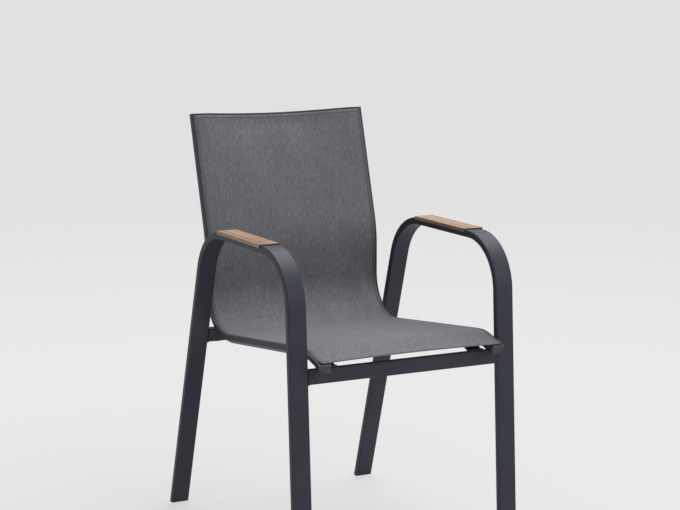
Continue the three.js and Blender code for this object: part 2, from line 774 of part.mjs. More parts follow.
const finish = (color, roughness, metalness) =>
  new THREE.MeshStandardMaterial({ color, roughness, metalness, flatShading: true });
const framePaint = finish(0x3d3f47, 0.5, 0.3);
const slingWeave = finish(0x747579, 0.9, 0);
const woodGrain = finish(0xc4a07d, 0.6, 0);
const greyPlastic = finish(0x4a4b4f, 0.6, 0);
const blackPlastic = finish(0x1c1c1e, 0.6, 0);
const steel = finish(0x9a9a9c, 0.35, 1);

// Assembly

const chair = new THREE.Group();

function add(name, geometry, material, x = 0) {
  const mesh = new THREE.Mesh(geometry, material);
  mesh.name = name;
  mesh.position.x = x;
  chair.add(mesh);
  return mesh;
}

// Adds a piece of the right side and its mirror image on the left.
function addPair(name, geometry, material, x = 0) {
  add(`right_${name}`, geometry, material, x);
  const mirrored = add(`left_${name}`, geometry, material, -x);
  mirrored.scale.x = -1;
}

// Adds a pair of screws at the same seat of both sides, pointing along a way in the side plane.
function addScrews(name, screw, x, seat, way) {
  for (const [side, sign] of [["right", 1], ["left", -1]]) {
    const mesh = add(`${side}_${name}`, screwGeometry(screw), steel, sign * x);
    mesh.position.set(sign * x, seat.x, seat.y);
    mesh.rotation.x = Math.atan2(-way.x, way.y);
  }
}

addPair("side_frame", sideFrameGeometry(), framePaint, framePlane);
addPair("front_foot_glide", glideGeometry(frontFoot), blackPlastic, framePlane);
addPair("rear_foot_glide", glideGeometry(rearFoot), blackPlastic, framePlane);
addPair("arm_pad", padGeometry(), woodGrain, framePlane);

const upwards = new THREE.Vector2(0, 1);
padScrewPlaces.forEach((y, i) => {
  const seat = new THREE.Vector2(y, ARM_HEIGHT - TUBE_DEPTH / 2 - GAP);
  addScrews(`${["front", "rear"][i]}_arm_pad_screw`, PAD_SCREW, framePlane, seat, upwards);
});

add("front_crossbeam", beamGeometry(frontBeam), framePaint);
const boltHoles = [saddleHole(), saddleHole().translate(-2 * bearingX, 0, 0)];
add("rear_crossbeam", cut(beamGeometry(rearBeam), ...boltHoles), framePaint);

addPair("sling_rail", railGeometry([bracketHole(), saddleHole()]), framePaint);
addPair("rail_end_cap", capGeometry(), greyPlastic);
addPair("front_rail_bracket", bracketGeometry(), framePaint);
addPair("rear_rail_saddle", saddleGeometry(), framePaint);
addScrews("front_bracket_screw", BRACKET_SCREW, bearingX, bracketScrewSeat, bracketUp);
addScrews("rear_saddle_bolt", SADDLE_BOLT, bearingX, saddleSeat, rearBeam.along);

add("back_top_bar", topBarGeometry(), framePaint);
add("sling", slingGeometry(), slingWeave);
addPair("side_spline", sideSplineGeometry(), blackPlastic);
add("top_spline", topSplineGeometry(), blackPlastic);

// The part's origin is on the floor, in the middle of its outline.
const part = new THREE.Group();
part.add(chair);
chair.position.y = -new THREE.Box3().setFromObject(chair).getCenter(new THREE.Vector3()).y;

export default part;
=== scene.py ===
"""A sling patio chair, dressed for a render.

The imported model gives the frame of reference. This script replaces its faceted pieces with smooth ones:
bent flat-tube side frames, grooved sling rails, a bowed top bar, a woven sling, wood arm pads and their
fittings. Sizes are in millimetres, and the side plane's points hold Y and Z.
"""

from __future__ import annotations
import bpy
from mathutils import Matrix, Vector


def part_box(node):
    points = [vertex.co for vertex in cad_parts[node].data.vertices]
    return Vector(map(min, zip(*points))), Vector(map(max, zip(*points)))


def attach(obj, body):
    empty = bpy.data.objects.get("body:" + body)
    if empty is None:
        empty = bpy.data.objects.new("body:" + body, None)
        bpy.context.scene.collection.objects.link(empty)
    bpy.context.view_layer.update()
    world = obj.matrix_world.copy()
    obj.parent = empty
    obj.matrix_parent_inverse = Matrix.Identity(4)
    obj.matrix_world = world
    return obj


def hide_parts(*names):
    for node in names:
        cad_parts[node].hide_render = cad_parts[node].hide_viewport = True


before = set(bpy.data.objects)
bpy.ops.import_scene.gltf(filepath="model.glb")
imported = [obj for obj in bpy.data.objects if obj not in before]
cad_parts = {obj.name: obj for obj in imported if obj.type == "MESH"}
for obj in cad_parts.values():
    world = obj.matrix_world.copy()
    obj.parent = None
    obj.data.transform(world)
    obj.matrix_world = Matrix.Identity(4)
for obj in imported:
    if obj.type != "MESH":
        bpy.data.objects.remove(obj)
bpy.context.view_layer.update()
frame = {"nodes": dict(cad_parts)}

import logging
import math
from dataclasses import dataclass, field
from enum import Enum
from typing import Callable, Iterable, NamedTuple, Sequence

import bmesh
import bpy
from mathutils import Matrix, Vector

log = logging.getLogger("chair")

MM = 0.001
BODY = "root"
ORIGIN_SETBACK = 314.185  # from the front leg on the floor back to the middle of the chair
GAP = 0.3  # clearance between pieces that touch
TOUCH = 1e-6  # two points closer than this, in metres, are one

Point = tuple[float, float]
Pair = tuple[float, float]  # two sizes or two limits
Test = Callable[[Vector, Vector], bool]
Piece = bpy.types.Object
Node = bpy.types.Node
Socket = bpy.types.NodeSocket


def metres(x: float, y: float, z: float) -> Vector:
    """Turns millimetres, with Y counted from the front leg, into a point of the frame."""
    return Vector((x, y - ORIGIN_SETBACK, z)) * MM


def clamp(value: float) -> float:
    """Keeps a share between 0 and 1."""
    return min(max(value, 0), 1)


# Modelling


class Part(Enum):
    """What an operator acts on in edit mode."""

    VERTEX = "VERT"
    EDGE = "EDGE"
    FACE = "FACE"


class Bench:
    """The modelling bench: one mesh at a time, shaped in edit mode by operators."""

    def __init__(self, name: str) -> None:
        """Starts an empty mesh in edit mode.

        Args:
            name: The finished piece's name.
        """
        bpy.ops.object.select_all(action="DESELECT")
        bpy.ops.mesh.primitive_plane_add(size=1, location=(0, 0, 0))
        self.piece = bpy.context.object
        self.piece.name = self.piece.data.name = name
        bpy.ops.object.mode_set(mode="EDIT")
        bpy.ops.mesh.select_mode(type=Part.VERTEX.value)
        bpy.ops.mesh.select_all(action="SELECT")
        bpy.ops.mesh.delete(type="VERT")

    def select(self, part: Part, test: Test | None = None) -> None:
        """Selects what passes a test of its place and its normal or direction, or everything.

        Args:
            part: Vertices, edges or faces.
            test: Takes the place and the normal, or an edge's direction.
        """
        bpy.ops.mesh.select_mode(type=part.value)
        bpy.ops.mesh.select_all(action="SELECT" if test is None else "DESELECT")
        if test is None:
            return
        shape = bmesh.from_edit_mesh(self.piece.data)
        for item, place, way in self._items(shape, part):
            item.select_set(test(place, way))
        shape.select_flush_mode()
        bmesh.update_edit_mesh(self.piece.data)

    @staticmethod
    def _items(shape: bmesh.types.BMesh, part: Part) -> Iterable[tuple]:
        """Lists the mesh's vertices, edges or faces.

        Args:
            shape: The mesh.
            part: The kind that is wanted.

        Returns:
            Each item with its place and its normal or direction.
        """
        if part is Part.VERTEX:
            return [(v, v.co, v.normal) for v in shape.verts]
        if part is Part.FACE:
            return [(f, f.calc_center_median(), f.normal) for f in shape.faces]
        ends = [(e, e.verts[0].co, e.verts[1].co) for e in shape.edges]
        return [(e, (a + b) / 2, (b - a).normalized()) for e, a, b in ends]

    def trace(self, points: Sequence[Vector]) -> None:
        """Traces a closed outline, vertex by vertex.

        Args:
            points: The outline's corners in order.
        """
        bpy.ops.mesh.select_mode(type=Part.VERTEX.value)
        bpy.ops.mesh.select_all(action="DESELECT")
        bpy.ops.mesh.primitive_plane_add(size=MM, location=points[0])
        bpy.ops.mesh.merge(type="CENTER")
        for here, there in zip(points, points[1:]):
            self.extrude(there - here)
        ends = (points[0], points[-1])
        self.select(Part.VERTEX, lambda place, _: any((place - end).length < TOUCH for end in ends))
        bpy.ops.mesh.edge_face_add()

    def fill(self) -> None:
        """Fills all traced outlines, with the inner ones as holes."""
        self.select(Part.EDGE)
        bpy.ops.mesh.fill(use_beauty=True)
        self.select(Part.FACE)

    def extrude(self, move: Vector) -> None:
        """Extrudes the selection by a move."""
        bpy.ops.mesh.extrude_region_move(TRANSFORM_OT_translate={"value": move})

    def spin(self, turn: float, steps: int, centre: Vector, axis: Vector) -> None:
        """Extrudes the selection round an axis, by a right-handed turn in radians."""
        bpy.ops.mesh.spin(steps=steps, angle=-turn, center=centre, axis=axis)

    def scale(self, factors: Vector, centre: Vector) -> None:
        """Scales the selection about a centre."""
        bpy.ops.transform.resize(value=factors, center_override=centre)

    def bevel(self, width: float, segments: int) -> None:
        """Rounds the selected edges, by a width in millimetres."""
        bpy.ops.mesh.bevel(offset=width * MM, segments=segments, affect="EDGES")

    def slice(self, point: Vector, normal: Vector) -> None:
        """Cuts the mesh by a plane, drops what lies on the normal's side and closes the cut.

        Args:
            point: A point of the plane.
            normal: Its normal.
        """
        self.select(Part.FACE)
        bpy.ops.mesh.bisect(plane_co=point, plane_no=normal, clear_outer=True, use_fill=False)
        bpy.ops.mesh.fill(use_beauty=True)

    def done(self, smooth: float = 30) -> Piece:
        """Leaves edit mode with the normals out and the rounded faces smooth.

        Args:
            smooth: Faces that meet at less than this many degrees are shaded as one.

        Returns:
            The piece.
        """
        self.select(Part.FACE)
        bpy.ops.mesh.normals_make_consistent(inside=False)
        bpy.ops.object.mode_set(mode="OBJECT")
        bpy.ops.object.shade_smooth_by_angle(angle=math.radians(smooth))
        return self.piece


def weight_normals(piece: Piece) -> Piece:
    """Keeps flat faces flat where they meet rounded edges.

    Args:
        piece: The piece.

    Returns:
        The same piece.
    """
    bpy.context.view_layer.objects.active = piece
    modifier = piece.modifiers.new("weights", "WEIGHTED_NORMAL")
    modifier.keep_sharp = True
    bpy.ops.object.modifier_apply(modifier=modifier.name)
    return piece


def duplicate(piece: Piece, name: str, matrix: Matrix) -> Piece:
    """Copies a piece with its own mesh and places the copy in its mesh.

    Args:
        piece: The piece to copy.
        name: The copy's name.
        matrix: Moves, turns or mirrors the copy.

    Returns:
        The copy.
    """
    copy = piece.copy()
    copy.data = piece.data.copy()
    copy.name = copy.data.name = name
    bpy.context.scene.collection.objects.link(copy)
    copy.data.transform(matrix)
    if matrix.determinant() < 0:
        copy.data.flip_normals()
    return copy


def settle(piece: Piece, finish: Finish, slot: str, *nodes: str) -> None:
    """Gives a finished piece its material and body, and hides and logs the nodes that it stands for.

    Args:
        piece: The piece, with its place in its mesh.
        finish: What its surface is made of.
        slot: The name of its material slot. It is not used.
        nodes: The CAD nodes that it replaces.
    """
    piece.data.materials.clear()
    piece.data.materials.append(finish.material())
    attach(piece, BODY)
    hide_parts(*nodes)
    stands_for = ", ".join(nodes) or "no node"
    log.info("%s: %d faces, stands for %s", piece.name, len(piece.data.polygons), stands_for)


def settle_pair(right: Piece, finish: Finish, slot: str, node: str = "") -> None:
    """Settles a piece of the right side and its mirror image on the left.

    Args:
        right: The right piece, whose name begins with its side.
        finish: What their surface is made of.
        slot: The name of their material slot.
        node: What follows the side in the names of the CAD nodes that they replace, if any.
    """
    left = duplicate(right, right.name.replace("right", "left"), Matrix.Diagonal((-1, 1, 1, 1)))
    if left.data.has_custom_normals:  # a mirrored mesh doesn't keep its weighted normals
        weight_normals(left)
    for piece, side in ((right, "right"), (left, "left")):
        nodes = [f"{side}_{node}"] if node else []
        settle(piece, finish, slot, *nodes)


# Outlines


def rounded_box(width: float, height: float, radius: float, chords: int = 4) -> list[Point]:
    """The outline of a box with rounded corners, round its middle.

    Args:
        width: Size along the first axis.
        height: Size along the second axis.
        radius: Of the corners.
        chords: Facets of each corner.

    Returns:
        Its points, anticlockwise.
    """
    points = []
    for quarter, (across, out) in enumerate(((1, 1), (-1, 1), (-1, -1), (1, -1))):
        for chord in range(chords + 1):
            angle = (quarter + chord / chords) * math.pi / 2
            x = across * (width / 2 - radius) + radius * math.cos(angle)
            points.append((x, out * (height / 2 - radius) + radius * math.sin(angle)))
    return points


def rounded(corners: Sequence[tuple[float, float, float]], chords: int = 3) -> list[Point]:
    """Rounds an outline's corners.

    Args:
        corners: Each corner's place and radius. A radius of zero keeps it sharp.
        chords: Facets of each rounded corner.

    Returns:
        The outline's points.
    """
    points: list[Point] = []
    for i, (u, v, radius) in enumerate(corners):
        corner = Vector((u, v))
        if not radius:
            points.append((u, v))
            continue
        before = (Vector(corners[i - 1][:2]) - corner).normalized()
        after = (Vector(corners[(i + 1) % len(corners)][:2]) - corner).normalized()
        half = before.angle(after) / 2
        start = corner + before * (radius / math.tan(half))
        end = corner + after * (radius / math.tan(half))
        centre = corner + (before + after).normalized() * (radius / math.sin(half))
        for chord in range(chords + 1):
            spoke = (start - centre).lerp(end - centre, chord / chords).normalized() * radius
            points.append((centre.x + spoke.x, centre.y + spoke.y))
    return points


def arc(centre: Point, radius: float, first: float, last: float, chords: int) -> list[Point]:
    """Points of an arc.

    Args:
        centre: Its middle.
        radius: Its radius.
        first: The angle where it starts, in degrees.
        last: The angle where it ends.
        chords: Its facets.

    Returns:
        Its points, both ends included.
    """
    angles = [math.radians(first + (last - first) * step / chords) for step in range(chords + 1)]
    return [(centre[0] + radius * math.cos(a), centre[1] + radius * math.sin(a)) for a in angles]


# Paths in the side plane


@dataclass(frozen=True)
class Run:
    """A straight run, or a bend where it turns."""

    start: Vector
    heading: float
    length: float
    turn: float = 0.0

    @property
    def move(self) -> Vector:
        """The move along a straight run, in metres."""
        return Vector((0, math.cos(self.heading), math.sin(self.heading))) * self.length * MM


class SidePath:
    """Straight runs joined by round bends in the side plane."""

    def __init__(self, corners: Sequence[Point], bends: Sequence[float]) -> None:
        """Lays the runs.

        Args:
            corners: The path's ends and the corners between them.
            bends: The radius at each corner.
        """
        self.runs: list[Run] = []
        points = [Vector(corner) for corner in corners]
        start = points[0]
        for i in range(1, len(points)):
            way = (points[i] - points[i - 1]).normalized()
            heading = math.atan2(way.y, way.x)
            reach = (points[i] - start).length
            if i == len(points) - 1:
                self.runs.append(Run(start, heading, reach))
                break
            ahead = (points[i + 1] - points[i]).normalized()
            turn = math.atan2(way.cross(ahead), way.dot(ahead))
            setback = bends[i - 1] * math.tan(abs(turn) / 2)
            self.runs.append(Run(start, heading, reach - setback))
            bend_start = points[i] - way * setback
            self.runs.append(Run(bend_start, heading, bends[i - 1] * abs(turn), turn))
            start = points[i] + ahead * setback
        self.length = sum(run.length for run in self.runs)

    def at(self, distance: float) -> tuple[Vector, float]:
        """Finds a place on the path.

        Args:
            distance: How far along the path it lies.

        Returns:
            The point, and the path's heading there.
        """
        for run in self.runs:
            if distance <= run.length or run is self.runs[-1]:
                break
            distance -= run.length
        turn = run.turn * distance / run.length
        chord = 2 * run.length * math.sin(turn / 2) / run.turn if run.turn else distance
        way = run.heading + turn / 2
        return run.start + Vector((math.cos(way), math.sin(way))) * chord, run.heading + turn

    def place(self, distance: float, across: float, out: float) -> Vector:
        """Places a point beside the path.

        Args:
            distance: How far along the path it lies.
            across: How far from the chair's middle.
            out: How far to the left of the path's heading.

        Returns:
            The point, in metres.
        """
        point, heading = self.at(distance)
        y = point.x - out * math.sin(heading)
        return metres(across, y, point.y + out * math.cos(heading))

    def follow(self, bench: Bench, step: float, extra: float) -> None:
        """Extrudes the selected section along the path: straight runs by a move, bends by a spin.

        Args:
            bench: Holds the section at the path's start.
            step: Degrees for each facet of a bend.
            extra: How far the last run goes on.
        """
        for run in self.runs:
            if not run.turn:
                more = extra if run is self.runs[-1] else 0
                bench.extrude(Run(run.start, run.heading, run.length + more).move)
                continue
            radius = run.length / abs(run.turn)
            side = run.heading + math.copysign(math.pi / 2, run.turn)
            centre = run.start + Vector((math.cos(side), math.sin(side))) * radius
            steps = max(round(math.degrees(abs(run.turn)) / step), 2)
            bench.spin(run.turn, steps, metres(0, centre.x, centre.y), Vector((1, 0, 0)))


# Finishes


def linear(code: str) -> tuple[float, float, float, float]:
    """Turns an sRGB hex colour into linear values with alpha.

    Args:
        code: The colour, as a hash sign and six digits.

    Returns:
        Red, green, blue and alpha.
    """
    channels = [int(code[i : i + 2], 16) / 255 for i in (1, 3, 5)]
    values = [c / 12.92 if c <= 0.04045 else ((c + 0.055) / 1.055) ** 2.4 for c in channels]
    return (*values, 1.0)


class Graph:
    """The node tree of a material or of the world."""

    def __init__(self, owner: bpy.types.Material | bpy.types.World) -> None:
        """Starts the tree without a node.

        Args:
            owner: The material or the world that it belongs to.
        """
        owner.use_nodes = True
        self.tree = owner.node_tree
        self.tree.nodes.clear()

    def add(
        self, kind: str, inputs: dict | None = None, stops: Sequence[tuple] = (), **settings: object
    ) -> Node:
        """Adds a node with its settings and links.

        Args:
            kind: The node's type.
            inputs: What its sockets get, as feed takes it.
            stops: A colour ramp's places with their hex colours.
            settings: The node's own properties.

        Returns:
            The node.
        """
        node = self.tree.nodes.new(kind)
        for key, value in settings.items():
            setattr(node, key, value)
        for _ in stops[2:]:
            node.color_ramp.elements.new(0.5)
        for index, (place, code) in enumerate(stops):
            node.color_ramp.elements[index].position = place
            node.color_ramp.elements[index].color = linear(code)
        self.feed(node, inputs or {})
        return node

    def feed(self, node: Node, inputs: dict) -> None:
        """Sets or links a node's inputs.

        Args:
            node: The node that gets them.
            inputs: By a socket's name or number, a value, an output, or a node for its first output.
        """
        for key, value in inputs.items():
            source = value.outputs[0] if isinstance(value, Node) else value
            if isinstance(source, Socket):
                self.tree.links.new(source, node.inputs[key])
            else:
                node.inputs[key].default_value = source


class Shading(Graph):
    """A material's node tree, with a Principled shader and an output."""

    def __init__(self, name: str) -> None:
        """Makes the material.

        Args:
            name: What the surface is made of.
        """
        self.material = bpy.data.materials.new(name)
        super().__init__(self.material)
        self.shader = self.add("ShaderNodeBsdfPrincipled")
        self.output = self.add("ShaderNodeOutputMaterial", {"Surface": self.shader})


def drawn_out(graph: Graph, place: Socket, size: Pair, detail: float, warp: float = 0.0) -> Node:
    """Adds a noise that is drawn out along Y, which is up the cloth and along an arm pad.

    Args:
        graph: The tree that gets it.
        place: Where a point of the surface lies.
        size: The noise's width and length in millimetres.
        detail: Its finer layers.
        warp: How much it is distorted.

    Returns:
        The noise's node.
    """
    across, along = (1 / (length * MM) for length in size)
    mapped = graph.add("ShaderNodeMapping", {"Vector": place, "Scale": (across, along, across)})
    inputs = {"Vector": mapped, "Scale": 1.0, "Detail": detail, "Distortion": warp}
    return graph.add("ShaderNodeTexNoise", inputs)


class Finish:
    """A surface finish, whose material is made once."""

    _made: dict[str, bpy.types.Material] = {}

    def material(self) -> bpy.types.Material:
        """Gives the finish's material, which is made when first asked for.

        Returns:
            The material.
        """
        key = repr(self)
        if key not in Finish._made:
            Finish._made[key] = self.build()
        return Finish._made[key]

    def build(self) -> bpy.types.Material:
        """Makes the material."""
        raise NotImplementedError


@dataclass(frozen=True)
class PowderCoat(Finish):
    """Polyester powder coat, sprayed and baked on aluminium: satin, with a fine orange peel."""

    low: str = "#353741"
    high: str = "#3a3c46"
    roughness: Pair = (0.47, 0.53)  # it changes between these
    specular: float = 0.26  # the coat's matting agent takes off some of its gloss
    peel: float = 1.6  # millimetres between the humps of the orange peel
    hump: float = 0.05  # their height in millimetres
    cloud: float = 80  # millimetres across the faint clouds in its gloss

    def build(self) -> bpy.types.Material:
        """Makes a satin dielectric with a soft, fine bump.

        Returns:
            The material.
        """
        graph = Shading("powder_coated_aluminium")
        place = graph.add("ShaderNodeTexCoord").outputs["Object"]
        peel, cloud = (
            graph.add("ShaderNodeTexNoise", {"Vector": place, "Scale": 1 / (size * MM), "Detail": detail})
            for size, detail in ((self.peel, 2.0), (self.cloud, 3.0))
        )
        stops = ((0.3, self.low), (0.7, self.high))
        smooth, rough = self.roughness
        relief = {"Strength": 0.1, "Distance": self.hump * MM, "Height": peel}
        inputs = {
            "Base Color": graph.add("ShaderNodeValToRGB", {"Fac": cloud}, stops),
            "Roughness": graph.add("ShaderNodeMapRange", {"Value": cloud, "To Min": smooth, "To Max": rough}),
            "Normal": graph.add("ShaderNodeBump", relief),
            "Metallic": 0.0,
            "IOR": 1.5,
            "Specular IOR Level": self.specular,
        }
        graph.feed(graph.shader, inputs)
        return graph.material


@dataclass(frozen=True)
class SlingWeave(Finish):
    """PVC-coated polyester yarn, woven: matt, with grey yarns of several shades running up the chair.

    The real yarns are about 0.5 mm thick, too fine to show here, so the weave is drawn 2.4 mm coarse.
    """

    dark: str = "#5a5b5f"
    base: str = "#6f7075"
    light: str = "#88898e"
    # painted shade: the colour that the gaps between the yarns, the weld line and the cloth beside the side
    # grooves are darkened towards
    shade_colour: str = "#3e3f44"
    yarn: float = 2.4  # millimetres between yarns, drawn coarse
    hole: float = 0.3  # depth of the gaps' shade
    slub: Pair = (2.0, 12.0)  # width and length of one yarn's shade
    band: Pair = (3.5, 60.0)  # width and length of a group of yarns
    cloud: Pair = (60.0, 160.0)  # width and length of the faint clouds
    weld: float = 5.5  # from the groove to the weld line of the hem
    line: float = 1.1  # half the width of the weld line
    pressed: float = 0.5  # depth of the weld line's shade
    edge: float = 11  # from the side grooves to where the cloth is no longer in their shade
    doubled: float = 0.4  # depth of that painted shade, for less light comes through doubled cloth

    def build(self) -> bpy.types.Material:
        """Makes the melange colour, the woven relief, painted shade in its gaps, along the weld line and
        beside the side grooves, and a little sheen.

        Returns:
            The material.
        """
        graph = Shading("woven_coated_yarn")
        cloth = graph.add("ShaderNodeUVMap", uv_map="cloth").outputs["UV"]
        slubs, bands = (drawn_out(graph, cloth, size, 2.0) for size in (self.slub, self.band))
        clouds = drawn_out(graph, cloth, self.cloud, 1.0)
        yarns = graph.add("ShaderNodeMix", {"Factor": 0.3, "A": slubs, "B": bands}, data_type="FLOAT")
        shade = graph.add("ShaderNodeMix", {"Factor": 0.14, "A": yarns, "B": clouds}, data_type="FLOAT")
        stops = ((0.3, self.dark), (0.5, self.base), (0.7, self.light))
        colour = graph.add("ShaderNodeValToRGB", {"Fac": shade}, stops)
        hem = graph.add("ShaderNodeSeparateXYZ", {"Vector": graph.add("ShaderNodeUVMap", uv_map="hem")})
        marks = {0: self._holes(graph, cloth), 1: self._weld(graph, hem)}
        low = graph.add("ShaderNodeMath", marks, operation="MAXIMUM")
        shaded = graph.add("ShaderNodeMath", {0: low, 1: self._edge(graph, hem)}, operation="ADD")
        # painted shade: the yarns' colour darkened towards the shade colour in the gaps, along the weld line
        # and beside the side grooves
        painted_shade = graph.add("ShaderNodeMix", {0: shaded, 6: colour, 7: linear(self.shade_colour)}, data_type="RGBA")
        relief = {"Strength": 0.3, "Distance": 0.3 * MM, "Height": low}
        inputs = {
            "Base Color": painted_shade.outputs[2],
            "Normal": graph.add("ShaderNodeBump", relief, invert=True),
            "Roughness": 0.75,
            "IOR": 1.5,
            "Specular IOR Level": 0.3,
            "Sheen Weight": 0.05,
            "Sheen Roughness": 0.5,
        }
        graph.feed(graph.shader, inputs)
        return graph.material

    def _holes(self, graph: Graph, cloth: Socket) -> Node:
        """Shades the gaps between the yarns.

        Args:
            graph: The material's nodes.
            cloth: Where a point lies on the flat cloth.

        Returns:
            The shade's depth, from 0 on a yarn.
        """
        turns = 2 * math.pi / (self.yarn * MM)
        parts = graph.add("ShaderNodeSeparateXYZ", {"Vector": cloth})
        waves = {}
        for axis in (0, 1):
            angle = graph.add("ShaderNodeMath", {0: parts.outputs[axis], 1: turns}, operation="MULTIPLY")
            waves[axis] = graph.add("ShaderNodeMath", {0: angle}, operation="COSINE")
        product = graph.add("ShaderNodeMath", waves, operation="MULTIPLY")
        inputs = {"Value": product, "From Min": 0.25, "From Max": 1.0, "To Max": self.hole}
        return graph.add("ShaderNodeMapRange", inputs)

    def _edge(self, graph: Graph, hem: Node) -> Node:
        """Shades the doubled cloth along the sides.

        Args:
            graph: The material's nodes.
            hem: How far from the side grooves and the top groove a point lies.

        Returns:
            The shade's depth.
        """
        inputs = {"Value": hem, "From Max": self.edge * MM, "To Min": self.doubled, "To Max": 0.0}
        return graph.add("ShaderNodeMapRange", inputs, interpolation_type="SMOOTHSTEP")

    def _weld(self, graph: Graph, hem: Node) -> Node:
        """Shades the pressed line along the hems.

        Args:
            graph: The material's nodes.
            hem: How far from the side grooves and the top groove a point lies.

        Returns:
            The shade's depth.
        """
        sides = {0: hem.outputs["X"], 1: hem.outputs["Y"]}
        nearest = graph.add("ShaderNodeMath", sides, operation="MINIMUM")
        offset = graph.add("ShaderNodeMath", {0: nearest, 1: self.weld * MM}, operation="SUBTRACT")
        away = graph.add("ShaderNodeMath", {0: offset}, operation="ABSOLUTE")
        inputs = {"Value": away, "From Max": self.line * MM, "To Min": self.pressed, "To Max": 0.0}
        return graph.add("ShaderNodeMapRange", inputs, interpolation_type="SMOOTHSTEP")


@dataclass(frozen=True)
class Teak(Finish):
    """Plantation teak, planed and oiled: straight lengthwise grain with fine dark pores."""

    pale: str = "#b79a80"
    base: str = "#9f826a"
    dark: str = "#775c46"
    end: str = "#45362a"  # colour of the faces that look along the pad, which are its ends
    ring: Pair = (5, 270)  # millimetres between growth rings on the face, and along one
    pore: Pair = (0.9, 30)  # millimetres across a pore streak, drawn coarse, and along it
    depth: float = 0.1  # depth of the pores in millimetres

    def build(self) -> bpy.types.Material:
        """Makes the growth rings, the pores, darker ends and a satin oiled surface.

        Returns:
            The material.
        """
        graph = Shading("oiled_teak")
        place = graph.add("ShaderNodeTexCoord").outputs
        rings = drawn_out(graph, place["Object"], self.ring, 2.0, 0.3)
        pores = drawn_out(graph, place["Object"], self.pore, 3.0, 0.3)
        mixed = graph.add("ShaderNodeMix", {"Factor": 0.45, "A": rings, "B": pores}, data_type="FLOAT")
        stops = ((0.38, self.dark), (0.5, self.base), (0.6, self.pale))
        colour = graph.add("ShaderNodeValToRGB", {"Fac": mixed}, stops)
        way = graph.add("ShaderNodeSeparateXYZ", {"Vector": place["Normal"]}).outputs["Y"]
        lengthwise = graph.add("ShaderNodeMath", {0: way}, operation="ABSOLUTE")
        cut = graph.add("ShaderNodeMapRange", {"Value": lengthwise, "From Min": 0.6, "From Max": 0.9})
        wood = graph.add("ShaderNodeMix", {0: cut, 6: colour, 7: linear(self.end)}, data_type="RGBA")
        relief = {"Strength": 0.15, "Distance": self.depth * MM, "Height": pores}
        inputs = {
            "Base Color": wood.outputs[2],
            "Normal": graph.add("ShaderNodeBump", relief),
            "Roughness": 0.55,
            "IOR": 1.48,
        }
        graph.feed(graph.shader, inputs)
        return graph.material


@dataclass(frozen=True)
class MouldedPlastic(Finish):
    """Polypropylene or polyethylene, injection moulded: satin, with a spark-eroded texture."""

    name: str
    colour: str
    roughness: Pair = (0.44, 0.58)  # it changes between these
    grit: float = 0.9  # millimetres between the grains of the texture, drawn coarse
    depth: float = 0.05  # height of the grains in millimetres

    def build(self) -> bpy.types.Material:
        """Makes a satin plastic with a fine eroded grain.

        Returns:
            The material.
        """
        graph = Shading(self.name)
        place = graph.add("ShaderNodeTexCoord").outputs["Object"]
        pattern = {"Vector": place, "Scale": 1 / (self.grit * MM), "Detail": 2.0}
        grit = graph.add("ShaderNodeTexNoise", pattern)
        smooth, rough = self.roughness
        relief = {"Strength": 0.2, "Distance": self.depth * MM, "Height": grit}
        inputs = {
            "Base Color": linear(self.colour),
            "Roughness": graph.add("ShaderNodeMapRange", {"Value": grit, "To Min": smooth, "To Max": rough}),
            "Normal": graph.add("ShaderNodeBump", relief),
            "IOR": 1.49,
        }
        graph.feed(graph.shader, inputs)
        return graph.material


@dataclass(frozen=True)
class ZincSteel(Finish):
    """Steel, cold headed and zinc plated: bright grey, with faint clouds in its gloss."""

    colour: str = "#a2a3a6"
    roughness: Pair = (0.26, 0.44)  # it changes between these
    cloud: float = 3  # millimetres across the clouds

    def build(self) -> bpy.types.Material:
        """Makes a soft-bright metal whose plating clouds a little.

        Returns:
            The material.
        """
        graph = Shading("zinc_plated_steel")
        place = graph.add("ShaderNodeTexCoord").outputs["Object"]
        pattern = {"Vector": place, "Scale": 1 / (self.cloud * MM), "Detail": 2.0}
        cloud = graph.add("ShaderNodeTexNoise", pattern)
        smooth, rough = self.roughness
        inputs = {
            "Base Color": linear(self.colour),
            "Roughness": graph.add("ShaderNodeMapRange", {"Value": cloud, "To Min": smooth, "To Max": rough}),
            "Metallic": 1.0,
        }
        graph.feed(graph.shader, inputs)
        return graph.material


@dataclass(frozen=True)
class Finishes:
    """Every finish of the chair."""

    frame: PowderCoat = PowderCoat()
    sling: SlingWeave = SlingWeave()
    wood: Teak = Teak()
    cap: MouldedPlastic = MouldedPlastic("moulded_polypropylene", "#3a3b40")
    black: MouldedPlastic = MouldedPlastic("moulded_polyethylene", "#1c1c1e")
    steel: ZincSteel = ZincSteel()


# Side frames


